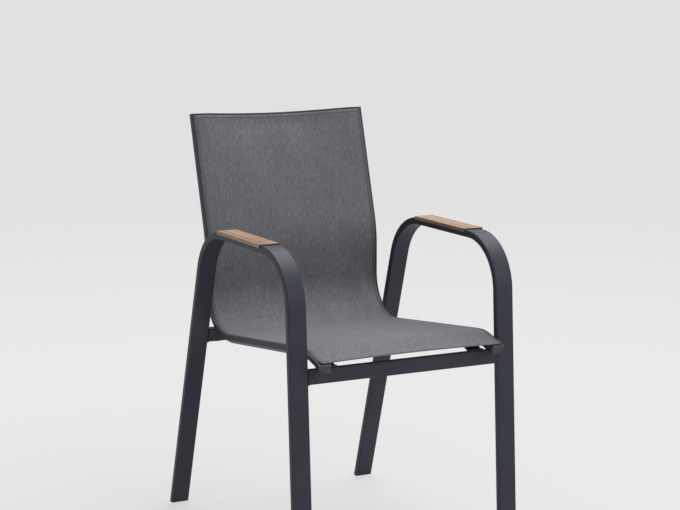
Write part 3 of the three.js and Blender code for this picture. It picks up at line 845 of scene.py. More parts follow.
@dataclass
class SideFrames:
    """Two side frames, each bent from one flat tube, with glides in their feet."""

    plane: float = 235  # from the chair's middle to the middle of the tube
    spread: float = 641  # between the feet of one frame
    arm_height: float = 648
    front_lean: float = 3.2
    rear_lean: float = 17.35
    front_bend: float = 107.5
    rear_bend: float = 120
    width: float = 40
    depth: float = 15
    corner: float = 3
    wall: float = 1.8
    bend_step: float = 2.0  # degrees for each facet of a bend
    under: float = 12  # how far the tube is drawn below the floor before its feet are cut
    flange: float = 2.5
    flange_chamfer: float = 0.7
    plug: float = 18
    path: SidePath = field(init=False)

    def __post_init__(self) -> None:
        """Lays the tube's centreline from the front foot to the rear foot."""
        front = self.arm_height * math.tan(math.radians(self.front_lean))
        rear = self.spread - self.arm_height * math.tan(math.radians(self.rear_lean))
        corners = [(0, 0), (front, self.arm_height), (rear, self.arm_height), (self.spread, 0)]
        self.path = SidePath(corners, [self.front_bend, self.rear_bend])

    def build(self, finishes: Finishes) -> None:
        """Makes both frames and all four glides.

        Args:
            finishes: The chair's finishes.
        """
        settle_pair(self.tube(), finishes.frame, "frame", "side_frame")
        for end, y, lean in (("front", 0.0, self.front_lean), ("rear", self.spread, -self.rear_lean)):
            glide = self.glide(f"right_{end}_glide", y, lean)
            settle_pair(glide, finishes.black, "black_plastic", f"{end}_foot_glide")

    def tube(self) -> Piece:
        """Draws the tube's section below the floor, follows the path and cuts the feet level.

        Returns:
            The right tube.
        """
        bench = Bench("right_frame_tube")
        walls = 2 * self.wall
        bore = rounded_box(self.width - walls, self.depth - walls, self.corner - self.wall, chords=2)
        for outline in (rounded_box(self.width, self.depth, self.corner), bore):
            bench.trace([self.path.place(-self.under, self.plane + u, v) for u, v in outline])
        bench.fill()
        bench.extrude(Run(Vector((0, 0)), self.path.runs[0].heading, self.under).move)
        self.path.follow(bench, self.bend_step, self.under)
        bench.slice(Vector((0, 0, (self.flange + GAP) * MM)), Vector((0, 0, -1)))
        return weight_normals(bench.done())

    def glide(self, name: str, y: float, lean: float) -> Piece:
        """Makes a foot glide: a chamfered flange that leans with the leg, and its plug.

        Args:
            name: The piece's name.
            y: Where the leg meets the floor.
            lean: Degrees that the leg leans back from upright.

        Returns:
            The right glide.
        """
        bench = Bench(name)
        slope = math.tan(math.radians(lean))
        chamfer = self.flange_chamfer
        inner, deep = self.width - 2 * chamfer, self.depth - 2 * chamfer
        stretch = 1 / math.cos(math.radians(lean))
        outline = rounded_box(inner, deep * stretch, self.corner - chamfer)
        bench.trace([metres(self.plane + u, y + v, 0) for u, v in outline])
        bench.fill()
        self._rise(bench, slope, chamfer)
        middle = metres(self.plane, y + slope * chamfer, chamfer)
        bench.scale(Vector((self.width / inner, self.depth / deep, 1)), middle)
        self._rise(bench, slope, self.flange - chamfer)
        bpy.ops.mesh.inset(thickness=(self.wall + GAP) * MM)
        self._rise(bench, slope, self.plug)
        return bench.done(smooth=40)

    @staticmethod
    def _rise(bench: Bench, slope: float, height: float) -> None:
        """Extrudes the selection up along a leaning leg."""
        bench.extrude(Vector((0, slope, 1)) * height * MM)


# Crossbeams


@dataclass
class Crossbeams:
    """The two cross tubes, each leaning with the legs that carry it, and their weld beads."""

    reach: float = 214.7  # from the chair's middle to a beam's end
    height: float = 30
    depth: float = 15
    corner: float = 2
    bore_corner: float = 0.4
    wall: float = 1.8
    front_up: float = 412.7
    rear_up: float = 406.221
    bead: float = 1.5  # radius of the weld bead
    bead_sides: int = 6
    bead_lap: float = 0.5  # how far its middle lies back from the beam's end, as a share of its radius
    ripple: float = 0.12  # how much the bead swells and shrinks from one drop to the next

    def build(self, frames: SideFrames, finishes: Finishes) -> None:
        """Makes both beams with a weld bead round each end.

        Args:
            frames: The side frames that carry them.
            finishes: The chair's finishes.
        """
        places = (
            ("front", self.front_up, frames.front_lean, 0.0),
            ("rear", self.rear_up, -frames.rear_lean, frames.spread),
        )
        for end, up, lean, foot in places:
            middle = Vector((foot + up * math.tan(math.radians(lean)), up))
            settle(self.beam(f"{end}_beam", middle, lean), finishes.frame, "frame", f"{end}_crossbeam")
            settle_pair(self.weld(f"right_{end}_weld", middle, lean), finishes.frame, "frame")

    def _outline(self, middle: Vector, lean: float, x: float, points: Sequence[Point]) -> list[Vector]:
        """Places a section's points on a leaning beam.

        Args:
            middle: The beam's centreline in the side plane.
            lean: Degrees that it leans back.
            x: Where along the beam the section lies.
            points: How far forwards and how far up each point lies from the centreline.

        Returns:
            The points, in metres.
        """
        sine, cosine = math.sin(math.radians(lean)), math.cos(math.radians(lean))
        placed = []
        for forwards, up in points:
            y = middle.x + up * sine - forwards * cosine
            placed.append(metres(x, y, middle.y + up * cosine + forwards * sine))
        return placed

    def beam(self, name: str, middle: Vector, lean: float) -> Piece:
        """Makes one cross tube.

        Args:
            name: The piece's name.
            middle: Its centreline in the side plane.
            lean: Degrees that it leans back.

        Returns:
            The beam.
        """
        bench = Bench(name)
        walls = 2 * self.wall
        bore = rounded_box(self.depth - walls, self.height - walls, self.bore_corner, chords=1)
        for outline in (rounded_box(self.depth, self.height, self.corner), bore):
            bench.trace(self._outline(middle, lean, -self.reach, outline))
        bench.fill()
        bench.extrude(Vector((2 * self.reach * MM, 0, 0)))
        return weight_normals(bench.done())

    def weld(self, name: str, middle: Vector, lean: float) -> Piece:
        """Makes the bead that fills the corner between a beam's right end and its leg.

        A ring gives the faces, and each of its points is then put on its place round the beam.

        Args:
            name: The piece's name.
            middle: The beam's centreline in the side plane.
            lean: Degrees that the beam leans back.

        Returns:
            The right bead.
        """
        bench = Bench(name)
        points = rounded_box(self.depth, self.height, self.corner, chords=6)
        rim = self._outline(middle, lean, self.reach - self.bead * self.bead_lap, points)
        heart = sum(rim, Vector()) / len(rim)
        bpy.ops.mesh.primitive_torus_add(
            major_segments=len(rim), minor_segments=self.bead_sides, major_radius=1, minor_radius=0.1
        )
        shape = bmesh.from_edit_mesh(bench.piece.data)
        for i, vertex in enumerate(shape.verts):
            ring, side = divmod(i, self.bead_sides)
            angle = 2 * math.pi * side / self.bead_sides
            outward = (rim[ring] - heart).normalized()
            swell = self.bead * (1 + self.ripple * math.cos(ring * math.pi)) * MM
            along = Vector((swell * math.sin(angle), 0, 0))
            vertex.co = rim[ring] + outward * swell * math.cos(angle) + along
        bmesh.update_edit_mesh(bench.piece.data)
        return bench.done(smooth=80)


# Sling rails and top bar


@dataclass
class Extrusion:
    """The grooved extrusion that the rails and the top bar are cut from.

    Its section is counted across from its inner face and out from its surface.
    """

    span: float = 366  # between the inner faces of the two rails
    width: float = 26
    depth: float = 18.5
    side: float = 10  # height of the outer face, below which the section is chamfered
    base: float = 12  # width of the bottom face
    wall: float = 1.8
    edge: float = 0.6  # radius of the outer edges
    lip: float = 0.25  # radius of the groove's lips
    slot_inset: float = 5  # from the outer face to the middle of the groove
    mouth: float = 1.8
    slot_radius: float = 3.6
    slot_depth: float = 5.5
    slot_chords: int = 20

    @property
    def slot(self) -> float:
        """The middle of the groove, from the inner face."""
        return self.width - self.slot_inset

    def outline(self) -> list[Point]:
        """Draws the outer outline with its keyhole groove.

        Returns:
            Its points.
        """
        near, far = self.slot - self.mouth / 2, self.slot + self.mouth / 2
        outside = [
            (0, 0, self.edge),
            (0, -self.depth, self.edge),
            (self.base, -self.depth, self.edge),
            (self.width, -self.side, self.edge),
            (self.width, 0, self.edge),
            (far, 0, self.lip),
            (far, -self.wall, 0),
        ]
        neck = math.degrees(math.asin(self.mouth / 2 / self.slot_radius))
        middle = (self.slot, -self.slot_depth)
        keyhole = arc(middle, self.slot_radius, 90 - neck, -270 + neck, self.slot_chords)
        near_lip = rounded([(near, -self.wall, 0), (near, 0, self.lip), (0, 0, 0)])[1:-1]
        return rounded(outside)[:-1] + keyhole + near_lip

    def hollow(self, room: float = 0) -> list[Point]:
        """Draws the hollow beside the groove.

        Args:
            room: How far inside the walls the outline keeps.

        Returns:
            Its points.
        """
        wall = self.wall + room
        slope = (self.depth - self.side) / (self.width - self.base)
        floor = self.depth - wall
        shelf = self.slot_depth + self.slot_radius + wall
        beside = self.slot - self.slot_radius - wall

        def inside(depth: float) -> float:
            """How far across the chamfered wall's inside lies at a depth."""
            return self.width - (depth - self.side + wall * math.hypot(1, slope)) / slope

        return [
            (wall, -wall),
            (wall, -floor),
            (inside(floor), -floor),
            (inside(shelf), -shelf),
            (beside, -shelf),
            (beside, -wall),
        ]


@dataclass
class SlingRails:
    """The two rails, bent to the curve of the seat and the back, with their end caps."""

    crest_setback: float = 55
    crest_height: float = 462.9
    nose_reach: float = 69.5
    nose_slope: float = 14.6
    crest_bend: float = 110
    seat_depth: float = 468.5
    seat_slope: float = 6.5
    seat_bend: float = 90
    lumbar_rise: float = 196
    lumbar_bend: float = 250
    back_lean: float = 16.2
    back_height: float = 880
    bend_step: float = 1.6  # degrees for each facet of a bend
    overrun: float = 10  # how far a rail is drawn past its end before the mitre is cut
    cap_thickness: float = 6
    cap_proud: float = 0.5
    cap_slant: float = 0.375  # how far the cap stands out below the rail's outer face
    cap_toe: float = 0.15  # how far it stands out beside the rail's bottom face
    cap_drop: float = 1.0  # from the rail's surface down to the cap's top
    cap_chamfer: float = 1.8
    cap_edge: float = 0.3
    cap_stem: float = 15
    extrusion: Extrusion = field(default_factory=Extrusion)
    path: SidePath = field(init=False)

    def __post_init__(self) -> None:
        """Lays the line of the sling's surface in the side plane."""
        lower_back = self.crest_setback + self.seat_depth
        seat_corner = self.crest_height - self.seat_depth * math.tan(math.radians(self.seat_slope))
        lumbar = seat_corner + self.lumbar_rise
        nose_drop = self.nose_reach * math.tan(math.radians(self.nose_slope))
        top = lower_back + (self.back_height - lumbar) * math.tan(math.radians(self.back_lean))
        corners = [
            (self.crest_setback - self.nose_reach, self.crest_height - nose_drop),
            (self.crest_setback, self.crest_height),
            (lower_back, seat_corner),
            (lower_back, lumbar),
            (top, self.back_height),
        ]
        self.path = SidePath(corners, [self.crest_bend, self.seat_bend, self.lumbar_bend])

    @property
    def inner(self) -> float:
        """From the chair's middle to a rail's inner face."""
        return self.extrusion.span / 2

    @property
    def groove(self) -> float:
        """From the chair's middle to the middle of a rail's groove."""
        return self.inner + self.extrusion.slot

    @property
    def bar_edge(self) -> float:
        """The distance along the path at which the top bar begins."""
        return self.path.length - self.extrusion.width

    def through_seat_bend(self, distance: float) -> float:
        """How far a place lies through the bend between the seat and the back.

        Args:
            distance: How far along the path it lies.

        Returns:
            A share, 0 before the bend and 1 past it.
        """
        before, bend = self.path.runs[:3], self.path.runs[3]  # the nose, its bend and the seat are before it
        return clamp((distance - sum(run.length for run in before)) / bend.length)

    def mitre(self, side: int) -> tuple[Vector, Vector]:
        """The right mitre's plane, on the rail's side (1) or the bar's side (-1) of the joint.

        Args:
            side: Which piece is cut.

        Returns:
            A point of the plane, and its normal out of the piece.
        """
        _, heading = self.path.at(self.path.length)
        up = Vector((0, math.cos(heading), math.sin(heading)))
        normal = (up - Vector((1, 0, 0))).normalized() * side
        corner = self.path.place(self.bar_edge, self.inner, 0)
        return corner - normal * (GAP / 2) * MM, normal

    def build(self, finishes: Finishes) -> None:
        """Makes both rails and both end caps."""
        settle_pair(self.rail(), finishes.frame, "frame", "sling_rail")
        settle_pair(self.cap(), finishes.cap, "grey_plastic", "rail_end_cap")

    def rail(self) -> Piece:
        """Draws the section at the front end, follows the path and cuts the mitre.

        Returns:
            The right rail.
        """
        bench = Bench("right_rail")
        for outline in (self.extrusion.outline(), self.extrusion.hollow()):
            bench.trace([self.path.place(0, self.inner + u, v) for u, v in outline])
        bench.fill()
        self.path.follow(bench, self.bend_step, self.overrun)
        bench.slice(*self.mitre(1))
        return weight_normals(bench.done())

    def cap(self) -> Piece:
        """Makes an end cap: a face round the rail's outline with a broad chamfer, and a stem.

        Returns:
            The right cap.
        """
        bench = Bench("right_rail_cap")
        shape, proud = self.extrusion, self.cap_proud
        outline = [
            (-proud, -self.cap_drop),
            (-proud, -shape.depth - proud),
            (shape.base + self.cap_toe, -shape.depth - proud),
            (shape.width + proud, -shape.side - self.cap_slant),
            (shape.width + proud, -self.cap_drop),
        ]
        bench.trace([self.path.place(-GAP, self.inner + u, v) for u, v in outline])
        bench.fill()
        heading = self.path.runs[0].heading
        ahead = Vector((0, -math.cos(heading), -math.sin(heading)))
        bench.extrude(ahead * (self.cap_thickness - self.cap_chamfer) * MM)
        rim = self.path.place(-GAP - self.cap_thickness + self.cap_chamfer, 0, 0)
        back = self.path.place(-GAP, 0, 0)
        bench.select(Part.FACE)
        bpy.ops.mesh.normals_make_consistent(inside=False)
        bench.select(Part.FACE, lambda place, _: abs((place - rim).dot(ahead)) < TOUCH)
        bpy.ops.mesh.inset(thickness=self.cap_chamfer * MM, depth=self.cap_chamfer * MM)
        bench.select(Part.EDGE, lambda place, _: abs((place - back).dot(ahead)) > TOUCH)
        bench.bevel(self.cap_edge, segments=2)
        self._stem(bench, back, ahead)
        return bench.done(smooth=35)

    def _stem(self, bench: Bench, back: Vector, ahead: Vector) -> None:
        """Opens the cap's back round the stem and draws the stem out of it.

        Args:
            bench: Holds the cap's face.
            back: A point of the face's back.
            ahead: The way that the cap faces.
        """
        hollow = self.extrusion.hollow(GAP)
        slack = 0.1  # how far off its outline a point of the stem may lie
        low, high = min(u for u, _ in hollow) - slack, max(u for u, _ in hollow) + slack
        deep, shallow = min(v for _, v in hollow) - slack, max(v for _, v in hollow) + slack
        up = Vector((0, ahead.z, -ahead.y))

        def at_back(place: Vector, _: Vector) -> bool:
            """Whether something lies in the back's plane."""
            return abs((place - back).dot(ahead)) < TOUCH

        def on_stem(place: Vector, way: Vector) -> bool:
            """Whether an edge lies on the stem's outline."""
            u, v = place.x / MM - self.inner, (place - back).dot(up) / MM
            return at_back(place, way) and low < u < high and deep < v < shallow

        bench.select(Part.FACE, at_back)
        bpy.ops.mesh.delete(type="ONLY_FACE")
        bench.trace([self.path.place(-GAP, self.inner + u, v) for u, v in hollow])
        bpy.ops.mesh.delete(type="ONLY_FACE")
        bench.select(Part.EDGE, at_back)
        bpy.ops.mesh.fill(use_beauty=True)
        bench.select(Part.EDGE, on_stem)
        bench.extrude(ahead * -self.cap_stem * MM)
        bpy.ops.mesh.edge_face_add()


@dataclass
class TopBar:
    """The bar of the same extrusion, bowed backwards between the rails."""

    bow: float = 25
    exponent: float = 1.25  # how gently the bow begins beside the rails
    stub: float = 2  # straight piece between a rail's inner face and the bow
    steps: int = 56
    overrun: float = 4  # how far the bar is drawn past the rails before the mitres are cut

    def drop(self, rails: SlingRails, x: float) -> float:
        """How far the bar lies behind the plane of the back at one X."""
        share = x / (rails.inner - self.stub)
        return self.bow * max(1 - share * share, 0) ** self.exponent

    def build(self, rails: SlingRails, finishes: Finishes) -> None:
        """Extrudes the section step by step along the bow, and cuts both mitres.

        Args:
            rails: The rails that it joins.
            finishes: The chair's finishes.
        """
        bench = Bench("top_bar")
        reach = rails.inner + rails.extrusion.width + self.overrun
        _, heading = rails.path.at(rails.path.length)
        out = Vector((0, -math.sin(heading), math.cos(heading)))
        for outline in (rails.extrusion.outline(), rails.extrusion.hollow()):
            bench.trace([rails.path.place(rails.bar_edge + up, -reach, v) for up, v in outline])
        bench.fill()
        inner = rails.inner - self.stub
        stations = [inner * (2 * i / self.steps - 1) for i in range(self.steps + 1)]
        stops = [-reach, *stations, reach]
        for here, there in zip(stops, stops[1:]):
            sink = self.drop(rails, there) - self.drop(rails, here)
            bench.extrude((Vector((there - here, 0, 0)) - out * sink) * MM)
        point, normal = rails.mitre(-1)
        flip = Matrix.Diagonal((-1, 1, 1))
        bench.slice(point, normal)
        bench.slice(flip @ point, flip @ normal)
        settle(weight_normals(bench.done()), finishes.frame, "frame", "back_top_bar")


# Sling


class Line(NamedTuple):
    """A row or a column of the sling's grid."""

    place: float  # a column's X, or a row's distance along the rails
    rise: float  # how far the sheet's middle lies above the rails
    flat: float  # its place on the flat cloth


@dataclass
class Sling:
    """The one-piece sling: a sheet whose side and top edges wrap round splines in the grooves.

    Its front edge is turned under once, so that it stands a little off the rails there.
    """

    thickness: float = 1.2
    setback: float = -1.5  # from the rails' ends back to the front edge
    notch: float = 1.0  # from the rails' ends back to where the side hems begin
    draw: float = 6.4  # how far the middle of the front edge is drawn back
    draw_depth: float = 60  # how far behind the front edge that ends
    bridge: float = 6  # how far the sheet's middle cuts the corner between seat and back
    lift: float = 0.9  # middle of the sheet above the rails
    columns: int = 48
    row: float = 4.5  # millimetres between rows
    mouth_chords: int = 4
    neck_room: float = 0.1  # between the cloth's middle and the edge of the groove's neck
    loop: float = 2.5  # radius of a hem's loop, at the middle of the sheet
    loop_turn: float = 330  # degrees that the hem winds round its spline
    loop_chords: int = 16
    loop_ease: float = 3  # the hem is down to the loop's radius after 1 / 3 of the turn
    hem_end: float = 199.9  # where the top hem ends, from the chair's middle
    corner_room: float = 8  # how far below the top hem the side hems end
    weld: float = 5.5  # from the grooves to the weld line of the hems
    swell: float = 0.45  # how far the doubled cloth stands up between a groove and its weld line
    press: float = 0.25  # depth of the weld line
    weld_width: float = 0.6
    stops: tuple[float, ...] = (8.5, 6.9, 6.1, 5.5, 4.9, 4.3, 3.2, 2.0, 0.8)  # lines along the hems
    fold: float = 0.85  # radius of the front edge's fold, at the middle of the sheet
    fold_depth: float = 11
    fold_chords: int = 6
    ease: float = 8  # over which the sheet comes down behind the front hem
    smooth: float = 50  # faces that meet at less than this many degrees are shaded as one

    def build(self, rails: SlingRails, bar: TopBar, finishes: Finishes) -> None:
        """Shapes the sheet and gives it its thickness.

        Args:
            rails: The rails that hold its sides.
            bar: The bar that holds its top.
            finishes: The chair's finishes.
        """
        edge = self.turn_in(rails.extrusion)
        across = self._across(rails, edge)
        along = self._along(rails, edge)
        bpy.ops.object.select_all(action="DESELECT")
        bpy.ops.mesh.primitive_grid_add(
            x_subdivisions=len(across) - 1, y_subdivisions=len(along) - 1, size=1, calc_uvs=True
        )
        piece = bpy.context.object
        piece.name = piece.data.name = "woven_sling"
        self._shape(piece, rails, bar, across, along)
        self._trim(piece, across, along)
        solidify = piece.modifiers.new("thickness", "SOLIDIFY")
        solidify.thickness = self.thickness * MM
        solidify.offset = 0
        solidify.use_even_offset = True
        bpy.ops.object.modifier_apply(modifier=solidify.name)
        bpy.ops.object.shade_smooth_by_angle(angle=math.radians(self.smooth))
        settle(piece, finishes.sling, "sling", "sling")

    def turn_in(self, shape: Extrusion) -> list[Point]:
        """Bends the edge into the groove's mouth and winds it once round the spline.

        Args:
            shape: The extrusion with the groove.

        Returns:
            Points past the groove's middle and out from the rail's surface.
        """
        points = arc((-self.lift, 0), self.lift, 90, 0, self.mouth_chords)
        points.append((0, -shape.wall - self.neck_room))
        start = shape.slot_radius - self.neck_room
        for i in range(1, self.loop_chords + 1):
            share = i / self.loop_chords
            angle = math.radians(90 - self.loop_turn * share)
            radius = self.loop + (start - self.loop) * max(1 - self.loop_ease * share, 0)
            points.append((radius * math.cos(angle), radius * math.sin(angle) - shape.slot_depth))
        return points

    @staticmethod
    def _hem(groove: float, edge: list[Point]) -> list[Line]:
        """Lays the lines of a turned-in edge.

        Args:
            groove: Where the middle of the groove lies.
            edge: The turned-in edge's points.

        Returns:
            A line for each point, out to the cut edge of the cloth.
        """
        flat = groove + edge[0][0]
        lines = [Line(flat, edge[0][1], flat)]
        for (u0, v0), (u1, v1) in zip(edge, edge[1:]):
            flat += math.hypot(u1 - u0, v1 - v0)
            lines.append(Line(groove + u1, v1, flat))
        return lines

    def _across(self, rails: SlingRails, edge: list[Point]) -> list[Line]:
        """Lays the columns.

        Args:
            rails: The rails that hold the sides.
            edge: The turned-in edge's points.

        Returns:
            The columns, from the left cut edge to the right one.
        """
        side = self._hem(rails.groove, edge)
        flat = side[0].place
        span = flat - self.stops[0]
        inner = [span * (2 * i / self.columns - 1) for i in range(1, self.columns)]
        hem = [flat - stop for stop in self.stops]
        middle = [Line(x, self.lift, x) for x in [-x for x in reversed(hem)] + inner + hem]
        return [Line(-x, rise, -f) for x, rise, f in reversed(side)] + middle + side

    def _along(self, rails: SlingRails, edge: list[Point]) -> list[Line]:
        """Lays the rows.

        Args:
            rails: The rails that the sheet follows.
            edge: The turned-in edge's points.

        Returns:
            The rows, from the cut edge of the front hem to that of the top hem.
        """
        top = self._hem(rails.bar_edge + rails.extrusion.slot, edge)
        begin = self.setback + self.fold
        reach = top[0].place - self.stops[0] - begin
        count = round(reach / self.row)
        rows = [begin + reach * i / count for i in range(count)]
        hem = [top[0].place - stop for stop in self.stops]
        return self._front(begin) + [Line(row, self.lift, row) for row in rows + hem] + top

    def _front(self, begin: float) -> list[Line]:
        """Lays the rows of the front hem.

        Args:
            begin: Where the fold ends and the sheet begins.

        Returns:
            The rows, from its cut edge under the sheet round the fold.
        """
        rows = []
        for i in range(self.fold_chords):
            angle = math.pi * i / self.fold_chords
            height = self.lift - self.fold - self.fold * math.cos(angle)
            flat = begin - self.fold * (math.pi - angle)
            rows.append(Line(begin - self.fold * math.sin(angle), height, flat))
        under = self.lift - 2 * self.fold
        reaches = (self.fold_depth, self.fold_depth / 2)
        return [Line(begin + reach, under, rows[0].flat - reach) for reach in reaches] + rows

    def drop(self, rails: SlingRails, bar: TopBar, distance: float, x: float) -> float:
        """How far the tensioned sling lies behind the rails.

        Args:
            rails: The rails that it follows.
            bar: The bowed bar, whose bow fades out down the back.
            distance: How far along the rails.
            x: How far from the chair's middle.

        Returns:
            Millimetres, square to the rails.
        """
        share = x / (rails.inner - bar.stub)
        hollow = max(1 - share * share, 0)
        below = max(rails.bar_edge - distance, 0)
        bow = bar.drop(rails, x) * math.exp(-math.pi * below / (2 * rails.groove))
        return bow - self.bridge * hollow * math.sin(math.pi * rails.through_seat_bend(distance)) ** 2

    def ridge(self, distance: float) -> float:
        """How far the doubled cloth stands up at a distance from its groove, or is pressed in."""
        swell = self.swell * math.sin(math.pi * clamp(distance / self.weld))
        return swell - self.press * math.exp(-(((distance - self.weld) / self.weld_width) ** 2))

    def front_lift(self, distance: float) -> float:
        """How far the sheet stands up over its turned-under front hem."""
        share = clamp((distance - self.setback - self.fold_depth) / self.ease)
        return 2 * self.fold * (1 - share * share * (3 - 2 * share))

    def _shape(
        self, piece: Piece, rails: SlingRails, bar: TopBar, across: list[Line], along: list[Line]
    ) -> None:
        """Moves each point of the grid to its place and writes the cloth's own UV maps.

        Args:
            piece: The grid.
            rails: The rails that it follows.
            bar: The bowed bar.
            across: Its columns.
            along: Its rows.
        """
        flats, hems = [], []
        side_end = max(line.flat for line in across if line.rise == self.lift)
        top_end = max(line.flat for line in along if line.rise == self.lift)
        for i, vertex in enumerate(piece.data.vertices):
            row, column = divmod(i, len(across))
            x, rise, flat_x = across[column]
            distance, top_rise, flat_y = along[row]
            reach = min(abs(x) / rails.groove, 1)
            fade = max(1 - (distance - self.setback) / self.draw_depth, 0) ** 2
            side, end = side_end - abs(flat_x), top_end - flat_y
            up = clamp(1 + rise / self.lift) * (self.front_lift(distance) + self.ridge(side))
            up += self.ridge(end) if end >= 0 and side >= 0 else 0
            distance += self.draw * (1 - reach * reach) * fade
            sink = self.drop(rails, bar, distance, x) + (self.lift - top_rise)
            vertex.co = rails.path.place(distance, x, rise - sink + up)
            flats.append((flat_x * MM, flat_y * MM))
            hems.append((side * MM, end * MM))
        cloth = piece.data.uv_layers[0]
        cloth.name = "cloth"
        hem = piece.data.uv_layers.new(name="hem")
        for loop in piece.data.loops:
            cloth.data[loop.index].uv = flats[loop.vertex_index]
            hem.data[loop.index].uv = hems[loop.vertex_index]

    def _trim(self, piece: Piece, across: list[Line], along: list[Line]) -> None:
        """Cuts the hems back at the top corners, where two grooves meet, and past the rails' ends.

        Args:
            piece: The shaped sheet.
            across: Its columns.
            along: Its rows.
        """
        top = max(line.place for line in along if line.rise == self.lift)
        front_rows = len(self._front(0))

        def hidden(face: bmesh.types.BMFace) -> bool:
            """Tells whether a face lies in a hem near a corner, or past a rail's end.

            Args:
                face: The face.

            Returns:
                True if it is cut away.
            """
            cells = [divmod(vertex.index, len(across)) for vertex in face.verts]
            first = min(row for row, _ in cells)
            rows = [along[row] for row, _ in cells]
            columns = [across[column] for _, column in cells]
            side_hem = min(line.rise for line in columns) < 0
            top_hem = first >= front_rows and min(line.rise for line in rows) < 0
            beyond = max(abs(line.place) for line in columns) > self.hem_end
            high = max(line.place for line in rows) > top - self.corner_room
            turned = min(line.rise for line in columns) < self.lift
            front = first < front_rows or min(line.place for line in rows) < self.notch
            return (top_hem and beyond) or (side_hem and high) or (turned and front)

        bpy.ops.object.mode_set(mode="EDIT")
        shape = bmesh.from_edit_mesh(piece.data)
        shape.verts.index_update()
        for face in shape.faces:
            face.select_set(hidden(face))
        bmesh.update_edit_mesh(piece.data)
        bpy.ops.mesh.select_mode(type="FACE")
        bpy.ops.mesh.delete(type="FACE")
        bpy.ops.mesh.select_all(action="SELECT")
        bpy.ops.mesh.normals_make_consistent(inside=False)
        bpy.ops.object.mode_set(mode="OBJECT")


# Arm pads


@dataclass
class ArmPads:
    """Thin wood caps over the arms, with side lips that hide the tube's edge."""

    front: float = 148.489
    rear: float = 357.52
    top: float = 3
    skirt: float = 4.5
    side: float = 2
    edge: float = 1.0  # radius of the long top edges
    lip: float = 0.4  # radius of the side lips' lower edges
    end: float = 0.6  # radius of the top edges of the ends

    def build(self, frames: SideFrames, finishes: Finishes) -> None:
        """Makes both pads."""
        settle_pair(self.pad(frames), finishes.wood, "arm_pad", "arm_pad")

    def pad(self, frames: SideFrames) -> Piece:
        """Draws the pad's section, extrudes it along the arm and rounds its edges.

        Args:
            frames: The side frames whose arms carry the pads.

        Returns:
            The right pad.
        """
        bench = Bench("right_wood_pad")
        inner = frames.width / 2 + GAP
        outer = inner + self.side
        under = frames.depth / 2 + GAP
        top = frames.depth / 2 + self.top
        skirt = frames.depth / 2 - self.skirt
        corners = [
            (outer, skirt, self.lip),
            (outer, top, self.edge),
            (-outer, top, self.edge),
            (-outer, skirt, self.lip),
            (-inner, skirt, 0),
            (-inner, under, 0),
            (inner, under, 0),
            (inner, skirt, 0),
        ]
        outline = rounded(corners, chords=4)
        bench.trace([metres(frames.plane + u, self.front, frames.arm_height + v) for u, v in outline])
        bench.fill()
        bench.extrude(Vector((0, (self.rear - self.front) * MM, 0)))
        crown = (frames.arm_height + top) * MM

        def at_end(place: Vector, way: Vector) -> bool:
            """Whether an edge is the top edge of an end."""
            near = min(abs(place.y - metres(0, y, 0).y) for y in (self.front, self.rear))
            return near < TOUCH and abs(place.z - crown) < TOUCH and abs(way.x) > abs(way.y)

        bench.select(Part.EDGE, at_end)
        bench.bevel(self.end, segments=2)
        return weight_normals(bench.done(smooth=40))


# Fasteners


@dataclass(frozen=True)
class Screw:
    """A pan-head screw with a hexagon socket. The widths are radii."""

    shank: float
    length: float
    head: float
    head_height: float
    sides: int = 28
    crown: float = 0.66  # the head's flat top, as a share of its radius
    brim: tuple[Pair, ...] = ((0.9, 0.78), (1.0, 0.4))  # its rounded edge, as shares of radius and height
    socket: float = 0.42  # as a share of the head's radius
    socket_depth: float = 0.55  # as a share of the head's height

    def model(self, name: str) -> Piece:
        """Makes the screw upright, with the seat of its head at zero.

        Args:
            name: The piece's name.

        Returns:
            The screw.
        """
        bench = Bench(name)
        bottom = Vector((0, 0, -self.head_height * MM))
        radius, height = self.head * self.crown, -self.head_height
        bpy.ops.mesh.primitive_circle_add(vertices=self.sides, radius=radius * MM, location=bottom)
        steps = [(self.head * wide, -self.head_height * high) for wide, high in self.brim]
        steps += [(self.head, 0.0), (self.shank, 0.0)]
        steps += [(self.shank, self.length - self.shank / 2), (self.shank / 2, self.length)]
        for wide, high in steps:
            bench.extrude(Vector((0, 0, (high - height) * MM)))
            bench.scale(Vector((wide / radius, wide / radius, 1)), Vector((0, 0, high * MM)))
            radius, height = wide, high
        bpy.ops.mesh.edge_face_add()
        bpy.ops.mesh.select_all(action="DESELECT")
        bpy.ops.mesh.primitive_circle_add(vertices=6, radius=self.head * self.socket * MM, location=bottom)
        bench.extrude(Vector((0, 0, self.head_height * self.socket_depth * MM)))
        bpy.ops.mesh.edge_face_add()
        bench.select(Part.EDGE, lambda place, _: abs(place.z - bottom.z) < TOUCH)
        bpy.ops.mesh.bridge_edge_loops()
        return bench.done(smooth=35)


